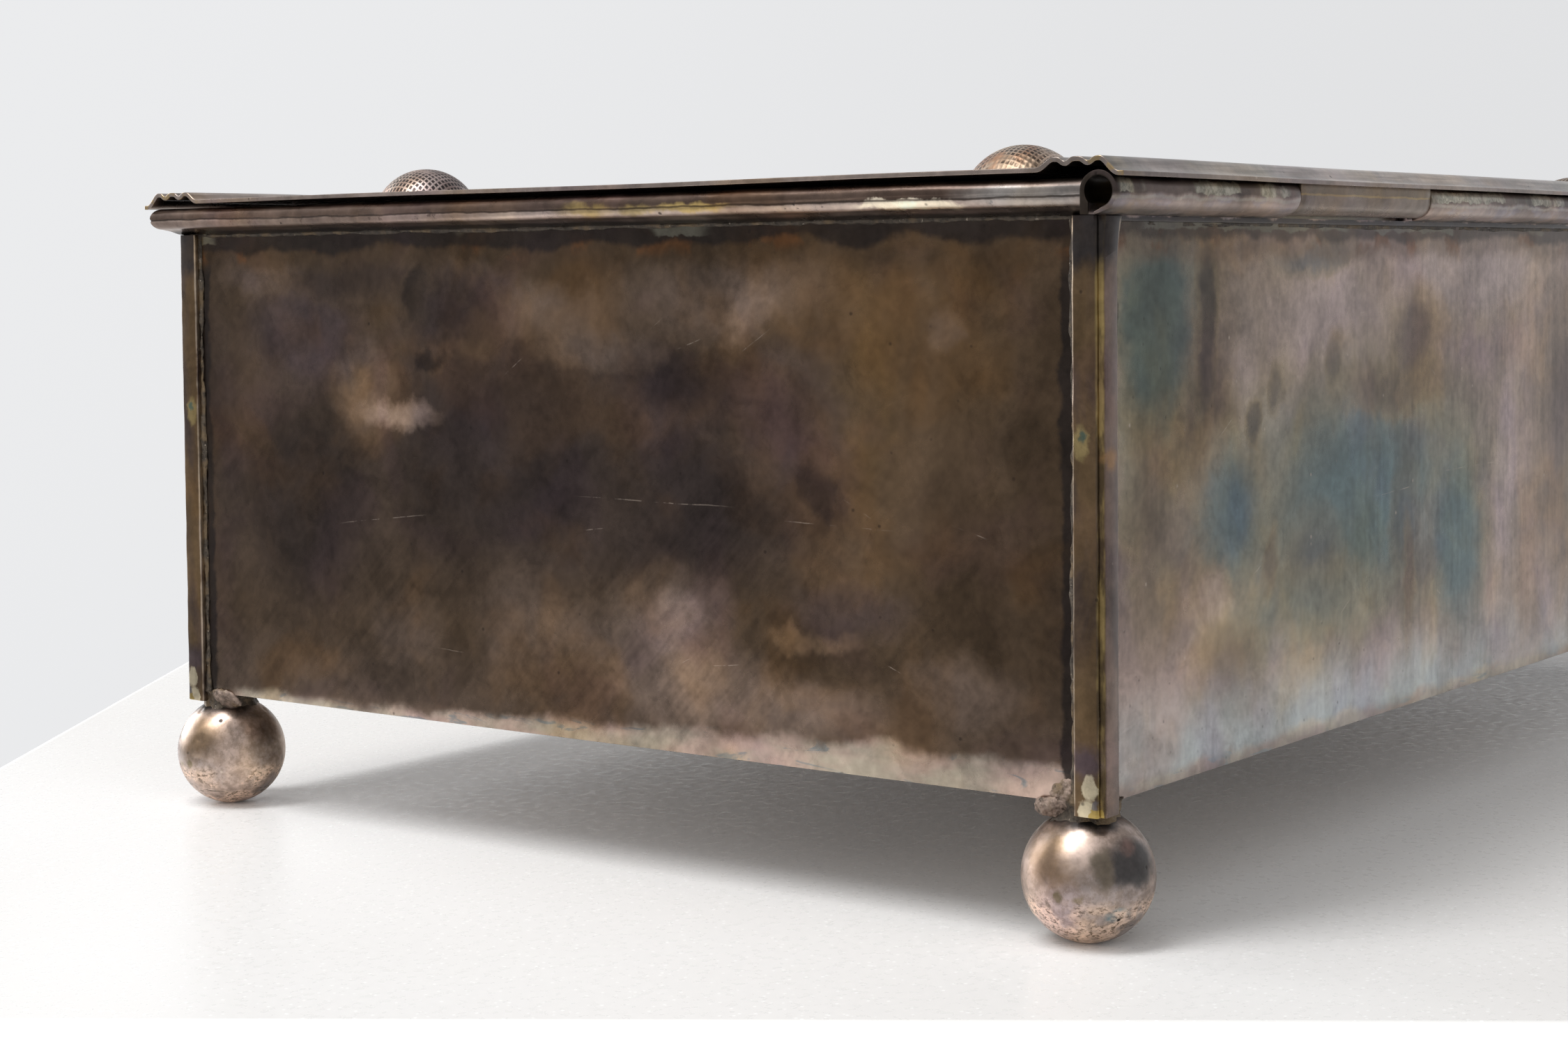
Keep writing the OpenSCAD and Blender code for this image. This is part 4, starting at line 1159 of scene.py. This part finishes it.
def body_knuckle(name, low_x, high_x):
    """A strip that rises on the wall's side, goes over the pin and comes back under it, nearly straight."""
    outline = [(axis_y - knuckle_r, bead_z)]
    outline += arc(knuckle_r, 180, -60, 50)
    outline += [(axis_y + 0.0001, axis_z - 0.0039), (axis_y - 0.0007, axis_z - 0.00412)]
    outline += [(axis_y - 0.0010, axis_z - 0.0040), (axis_y - 0.0009, axis_z - 0.0036), (axis_y, axis_z - 0.0032)]
    outline += arc(bore_r, -70, 222, 50)
    outline.append((axis_y - 0.0021, bead_z))
    piece = section_bar(name, outline, 0, low_x, high_x, round((high_x - low_x) / 0.003))
    rough_up(piece, 0.00006, 380)
    rough_up(piece, 0.00010, 60, 5.0)
    add_modifier(piece, "BEVEL", width=0.00014, segments=2, limit_method="ANGLE", angle_limit=0.7)
    settle(piece, 40)
    dress(piece, hinge_silver)
    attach(piece, "chest")
    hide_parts("hinge_leaf")


def lid_knuckle(name, node):
    """A strip that hangs from under the lid, passes outside and under the pin and curls inwards."""
    low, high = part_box(node)
    radius = high.y - axis_y
    strip = radius - bore_r
    outline = [(axis_y + radius, high.z - 0.0001)]
    outline += arc(radius, 0, -290, 56)
    outline += arc(bore_r, -290, 0, 44)
    outline.append((axis_y + radius - strip, high.z - 0.0001))
    piece = section_bar(name, outline, 0, low.x, high.x, round((high.x - low.x) / 0.003))
    rough_up(piece, 0.00005, 380)
    add_modifier(piece, "BEVEL", width=0.00014, segments=2, limit_method="ANGLE", angle_limit=0.7)
    settle(piece, 40)
    dress(piece, lid_hinge_silver)
    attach(piece, "lid")
    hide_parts(node)


lid_knuckle("lid_hinge_left", "lid_knuckle_left")
lid_knuckle("lid_hinge_right", "lid_knuckle_right")
knuckle_gap = 0.0004
lid_low, lid_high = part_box("lid_knuckle_right")
body_knuckle("knuckle_right", lid_high.x + knuckle_gap, hinge_high.x)
body_knuckle("knuckle_middle", -lid_low.x + knuckle_gap, lid_low.x - knuckle_gap)
body_knuckle("knuckle_left", hinge_low.x, -lid_high.x - knuckle_gap)

strip_t = knuckle_r - bore_r
strip_x = end_x - moulding_w + moulding_out - 0.0004
outline = (
    (back_y, hinge_low.z),
    (back_y + strip_t * 0.8, hinge_low.z + 0.0001),
    (back_y + strip_t, hinge_low.z + 0.0004),
    (back_y + strip_t, bead_z),
    (back_y, bead_z),
)
piece = section_bar("hinge_strip", outline, 0, -strip_x, strip_x, 100)
rough_up(piece, 0.00009, 300)
settle(piece, 40)
dress(piece, hinge_silver)
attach(piece, "chest")
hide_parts("hinge_leaf")
solder_line(
    "solder_hinge", 0, -strip_x, strip_x, (back_y, hinge_low.z - 0.0002), (0, 0.0006), (0, 0.0005)
)

pin_brass, tree, shader = new_material("pin_brass", 1.0)
age(tree, shader, coordinates(tree), (0.42, 0.31, 0.15, 1), (0.1, 1, 1), 0.5)
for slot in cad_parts["hinge_pin"].material_slots:
    slot.material = pin_brass


# Lid
# One sheet of plated brass, flat but for a reeded border of three ridges pressed along its front
# and back edges, ending in a flat lip. Its cut edges are worn to brass.
def lid_material():
    """Pinkish silver with brown and plum clouds, a painted highlight of lighter silver along the edges, and brass along
    parts of the cut edges.
    """
    made, tree, shader = new_material("lid_silver", 1.0, 0.15)
    place = coordinates(tree)
    cloud = noise_value(tree, place, 16, 6, 0.6, 1.2)
    colour = mix(tree, span(tree, cloud, 0.38, 0.62), (*mauve, 1), (*bronze, 1))
    tinted = put(tree, "VectorMath", {0: place, 1: (0.7, 0.2, 0.0)}, operation="ADD").outputs[0]
    colour = mix(tree, span(tree, noise_value(tree, tinted, 11, 5), 0.54, 0.68), colour, (*verdigris, 1))
    colour = mix(tree, span(tree, noise_value(tree, place, 22, 4, 0.6, 0.8), 0.56, 0.72), colour, (*plum, 1))
    part = put(tree, "SeparateXYZ", {0: place}).outputs
    border = span(tree, sum_up(tree, "ABSOLUTE", part[1]), lid_box[1].y - 0.020, lid_box[1].y - 0.015)
    streaky = noise_value(tree, stretched(tree, place, (0.06, 1, 1)), 420, 3, 0.6)
    reeded = mix(tree, span(tree, streaky, 0.4, 0.6), (0.16, 0.135, 0.12, 1), (0.36, 0.31, 0.28, 1))
    colour = mix(tree, sum_up(tree, "MULTIPLY", border, 0.75), colour, reeded)
    edge_x = span(tree, sum_up(tree, "ABSOLUTE", part[0]), lid_box[1].x - 0.0006, lid_box[1].x - 0.0002)
    edge_y = span(tree, sum_up(tree, "ABSOLUTE", part[1]), lid_box[1].y - 0.0005, lid_box[1].y - 0.0002)
    edge = sum_up(tree, "MAXIMUM", edge_x, edge_y)
    # A painted highlight: lighter silver along the lid's outer edges.
    colour = mix(tree, sum_up(tree, "MULTIPLY", edge, 0.8), colour, (0.32, 0.265, 0.235, 1))
    worn = span(tree, noise_value(tree, place, 260, 4, 0.7), 0.48, 0.56)
    gilt = sum_up(tree, "MULTIPLY", sum_up(tree, "MULTIPLY", edge_x, border), worn)
    colour = mix(tree, sum_up(tree, "MULTIPLY", gilt, 0.65), colour, (0.40, 0.28, 0.11, 1))
    age(tree, shader, place, colour, (0.1, 1, 1), 1.2, 0.0001, 0.2)
    return made


lid_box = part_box("lid_sheet")
lid_silver = lid_material()
lid_t = 0.0009
lip_w = 0.0008
slope_w = 0.0040
ridge_pitch = 0.0047
ridge_rise = 0.00275
ridge_depth = 0.0008
field_rise = 0.00095
field_slope = 0.0037
border_w = lip_w + slope_w + 2 * ridge_pitch + field_slope


def border_height(inwards):
    """Height of the lid over its lip, at a distance from the edge: round ridges, narrow hollows."""
    reed = lip_w + slope_w
    if inwards < lip_w:
        return 0.0
    if inwards < reed:
        return ridge_rise * (1 - math.cos(math.pi * (inwards - lip_w) / slope_w)) / 2
    if inwards < reed + 2 * ridge_pitch:
        between = ((inwards - reed) / ridge_pitch) % 1.0
        return ridge_rise - ridge_depth * math.exp(-((between - 0.5) / 0.20) ** 2)
    if inwards < border_w:
        fall = (inwards - reed - 2 * ridge_pitch) / field_slope
        return field_rise + (ridge_rise - field_rise) * (1 + math.cos(math.pi * fall)) / 2
    return field_rise


def sag(y):
    """How far the old sheet has sunk on to the front of the rim."""
    share = min(1.0, max(0.0, (0.085 - y) / 0.075))
    drop = 0.00030 * share * share * (3 - 2 * share)
    share = min(1.0, max(0.0, (-0.040 - y) / 0.080))
    return drop + 0.00038 * share * share * (3 - 2 * share)


def lid_depth(share):
    """Where a line of the grid lies from front to back: most of the lines are in the two borders."""
    width = lid_box[1].y - lid_box[0].y
    dense = 0.44
    if share < dense:
        return border_w * share / dense
    if share > 1 - dense:
        return width - border_w * (1 - share) / dense
    return border_w + (width - 2 * border_w) * (share - dense) / (1 - 2 * dense)


bpy.ops.object.select_all(action="DESELECT")
bpy.ops.mesh.primitive_grid_add(x_subdivisions=80, y_subdivisions=250, size=1)
lid = bpy.context.object
lid.name = "lid_plate"
lid_width = lid_box[1].y - lid_box[0].y
for vertex in lid.data.vertices:
    x = lid_box[0].x + (vertex.co.x + 0.5) * (lid_box[1].x - lid_box[0].x)
    depth = lid_depth(vertex.co.y + 0.5)
    inwards = min(depth, lid_width - depth)
    near_edge = max(0.0, 1 - inwards / 0.020)
    wave = 0.00016 * noise.noise(Vector((x * 12, depth * 5, 0.3))) * (0.4 + near_edge)
    dip = 0.0003 * noise.noise(Vector((x * 9, depth * 7, 4.1))) * (1 - near_edge)
    z = lid_box[0].z + lid_t + border_height(inwards) + wave + dip - sag(lid_box[0].y + depth)
    vertex.co = Vector((x * 0.9998, (lid_box[0].y + depth) * 0.9998, z))
if lid.data.polygons[0].normal.z < 0:
    lid.data.flip_normals()
add_modifier(lid, "SOLIDIFY", thickness=lid_t, offset=-1)
add_modifier(lid, "BEVEL", width=0.00022, segments=3, limit_method="ANGLE", angle_limit=1.0)
settle(lid, 40)
dress(lid, lid_silver)
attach(lid, "lid")
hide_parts("lid_sheet")


# Lid bosses
# Four low domes soldered on the lid, one near each corner, each punched all over with a grid of
# small squares, which are rubbed nearly smooth in places and hold black dirt in others.
def boss_material(name, centre):
    """Rubbed pinkish silver, with black left in the punched squares, on the same grid as the mesh's."""
    made, tree, shader = new_material(name, 1.0, 0.1)
    place = coordinates(tree)
    offset = put(tree, "VectorMath", {0: place, 1: tuple(centre)}, operation="SUBTRACT").outputs[0]
    part = put(tree, "SeparateXYZ", {0: offset}).outputs
    bars = []
    for across in (part[0], part[1]):
        cell = sum_up(tree, "DIVIDE", across, boss_pitch)
        nearest = put(tree, "Math", {0: cell}, operation="ROUND").outputs[0]
        bars.append(span(tree, sum_up(tree, "ABSOLUTE", sum_up(tree, "SUBTRACT", cell, nearest)), 0.12, 0.22))
    square = sum_up(tree, "MINIMUM", bars[0], bars[1])
    tone = noise_value(tree, place, 210, 5, 0.6)
    colour = mix(tree, span(tree, tone, 0.35, 0.65), (0.225, 0.175, 0.145, 1), (0.39, 0.325, 0.28, 1))
    colour = mix(tree, span(tree, noise_value(tree, place, 120, 3), 0.52, 0.68), colour, (0.26, 0.155, 0.11, 1))
    kept = span(tree, noise_value(tree, place, 110, 3), 0.34, 0.46, 0.0, 0.95)
    colour = mix(tree, sum_up(tree, "MULTIPLY", square, kept), colour, (0.022, 0.018, 0.016, 1))
    age(tree, shader, place, colour, (1, 1, 1), 1.0, 0.0001, 0.34)
    return made


boss_pitch = 0.00105


def boss(name, node):
    """One dome: a square grid cut to a circle, raised to a dome and punched with small squares."""
    low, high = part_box(node)
    radius = (high.x - low.x) / 2
    centre = Vector(((low.x + high.x) / 2, (low.y + high.y) / 2, low.z))
    centre.z -= sag(centre.y)
    rise = high.z - centre.z
    sphere = (radius**2 + rise**2) / (2 * rise)
    bpy.ops.object.select_all(action="DESELECT")
    bpy.ops.mesh.primitive_grid_add(x_subdivisions=114, y_subdivisions=114, size=2 * radius)
    piece = bpy.context.object
    piece.name = name
    bpy.ops.object.mode_set(mode="EDIT")
    mesh = bmesh.from_edit_mesh(piece.data)
    for face in mesh.faces:
        face.select_set(face.calc_center_median().length > radius - 0.0002)
    bmesh.update_edit_mesh(piece.data)
    bpy.ops.mesh.delete(type="FACE")
    mesh = bmesh.from_edit_mesh(piece.data)
    for vertex in mesh.verts:
        reach = Vector((vertex.co.x, vertex.co.y)).length
        rim = any(edge.is_boundary for edge in vertex.link_edges)
        if rim:
            vertex.co *= (radius - 0.0001) / reach
            reach = radius - 0.0001
        cell_x = abs(vertex.co.x / boss_pitch - round(vertex.co.x / boss_pitch))
        cell_y = abs(vertex.co.y / boss_pitch - round(vertex.co.y / boss_pitch))
        deep = max(0.0, min(1.0, (min(cell_x, cell_y) - 0.12) / 0.12))
        fade = min(1.0, (radius - reach) / 0.0025)
        wear = 0.55 + 0.55 * noise.noise((vertex.co + centre) * 120)
        up = math.sqrt(sphere**2 - reach**2) - (sphere - rise)
        vertex.co.z = up - 0.00022 * deep * fade * wear - 0.00002
    bmesh.update_edit_mesh(piece.data)
    bpy.ops.mesh.select_all(action="DESELECT")
    mesh = bmesh.from_edit_mesh(piece.data)
    for edge in mesh.edges:
        edge.select_set(edge.is_boundary)
    bmesh.update_edit_mesh(piece.data)
    bpy.ops.mesh.extrude_region_move(TRANSFORM_OT_translate={"value": (0, 0, -0.0003)})
    bpy.ops.mesh.edge_face_add()
    bpy.ops.mesh.select_all(action="SELECT")
    bpy.ops.mesh.normals_make_consistent(inside=False)
    bpy.ops.object.mode_set(mode="OBJECT")
    piece.location = centre
    settle(piece, 30)
    dress(piece, boss_material(name + "_silver", centre))
    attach(piece, "lid")
    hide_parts(node)


for corner in ("front_left", "front_right", "back_left", "back_right"):
    boss("boss_" + corner, "lid_boss_" + corner)


# Lining
# The inside is lined with dark blue baize: a padded floor, boards round the walls, and covered
# dividers that make one compartment across the chest and three along it.
def baize_material():
    """Short dark blue nap: fibres, faint clouds and a soft sheen."""
    made, tree, shader = new_material("baize", 0.0)
    place = coordinates(tree)
    fibre = noise_value(tree, place, 2600, 4, 0.7, 1.5)
    cloud = noise_value(tree, place, 30, 4, 0.6)
    colour = mix(tree, span(tree, fibre, 0.3, 0.7), (0.010, 0.014, 0.040, 1), (0.035, 0.045, 0.110, 1))
    colour = mix(tree, span(tree, cloud, 0.45, 0.7), colour, (0.045, 0.050, 0.095, 1))
    tree.links.new(colour, shader.inputs["Base Color"])
    tree.links.new(span(tree, cloud, 0.3, 0.7, 0.85, 0.95), shader.inputs["Roughness"])
    shader.inputs["Sheen Weight"].default_value = 0.35
    shader.inputs["Sheen Roughness"].default_value = 0.5
    bump(tree, shader, fibre, 0.8, 0.0004)
    return made


baize = baize_material()


def covered_board(name, node, low, high, slot, crown=0.0, soft=0.0010):
    """A board wrapped in cloth: a box with round edges, its top face crowned if it is a pad."""
    bpy.ops.object.select_all(action="DESELECT")
    bpy.ops.mesh.primitive_cube_add(size=1, location=(low + high) / 2)
    piece = bpy.context.object
    piece.name = name
    piece.scale = high - low
    settle(piece)
    bpy.ops.object.mode_set(mode="EDIT")
    bpy.ops.mesh.select_all(action="SELECT")
    bpy.ops.mesh.subdivide(number_cuts=24)
    bpy.ops.object.mode_set(mode="OBJECT")
    middle = (low + high) / 2
    size = high - low
    for vertex in piece.data.vertices:
        spot = vertex.co.copy()
        rim_x = 1 - abs(spot.x - middle.x) / size.x * 2
        rim_y = 1 - abs(spot.y - middle.y) / size.y * 2
        if spot.z > high.z - 1e-5:
            vertex.co.z -= crown * (1 - min(1.0, 6 * min(rim_x, rim_y)))
            vertex.co.z -= 0.00025 * (0.5 + noise.noise(spot * 30))
    add_modifier(piece, "BEVEL", width=soft, segments=4, limit_method="ANGLE", angle_limit=0.8)
    settle(piece, 60)
    dress(piece, baize)
    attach(piece, "chest")
    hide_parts(node)
    return piece


pad = covered_board("pad", "floor_pad", *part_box("floor_pad"), "lining_cloth", 0.0006)
for part in ("front", "back", "left", "right"):
    covered_board("lining_" + part + "_cloth", "lining_" + part, *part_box("lining_" + part), "lining_cloth", 0, 0.0008)
covered_board("divider_cross", "cross_divider", *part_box("cross_divider"), "covered_board", 0, 0.0014)
dividers_low, dividers_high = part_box("long_dividers")
divider_t = 0.004
for share, row in ((0, "front"), (1, "back")):
    low = Vector((dividers_low.x, dividers_low.y if share == 0 else dividers_high.y - divider_t, dividers_low.z))
    high = Vector((dividers_high.x, low.y + divider_t, dividers_high.z))
    covered_board("divider_long_" + row, "long_dividers", low, high, "covered_board", 0, 0.0014)


# Bottom
# The bottom plate is the same sheet, soldered in between the walls, dull and stained underneath.
bottom_silver, tree, shader = new_material("bottom_silver", 1.0, 0.05)
place = coordinates(tree)
cloud = noise_value(tree, place, 18, 6, 0.6, 1.0)
colour = mix(tree, span(tree, cloud, 0.35, 0.65), (0.42, 0.36, 0.31, 1), (0.26, 0.215, 0.18, 1))
age(tree, shader, place, colour, (0.1, 1, 1), 1.4)
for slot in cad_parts["bottom_plate"].material_slots:
    slot.material = bottom_silver
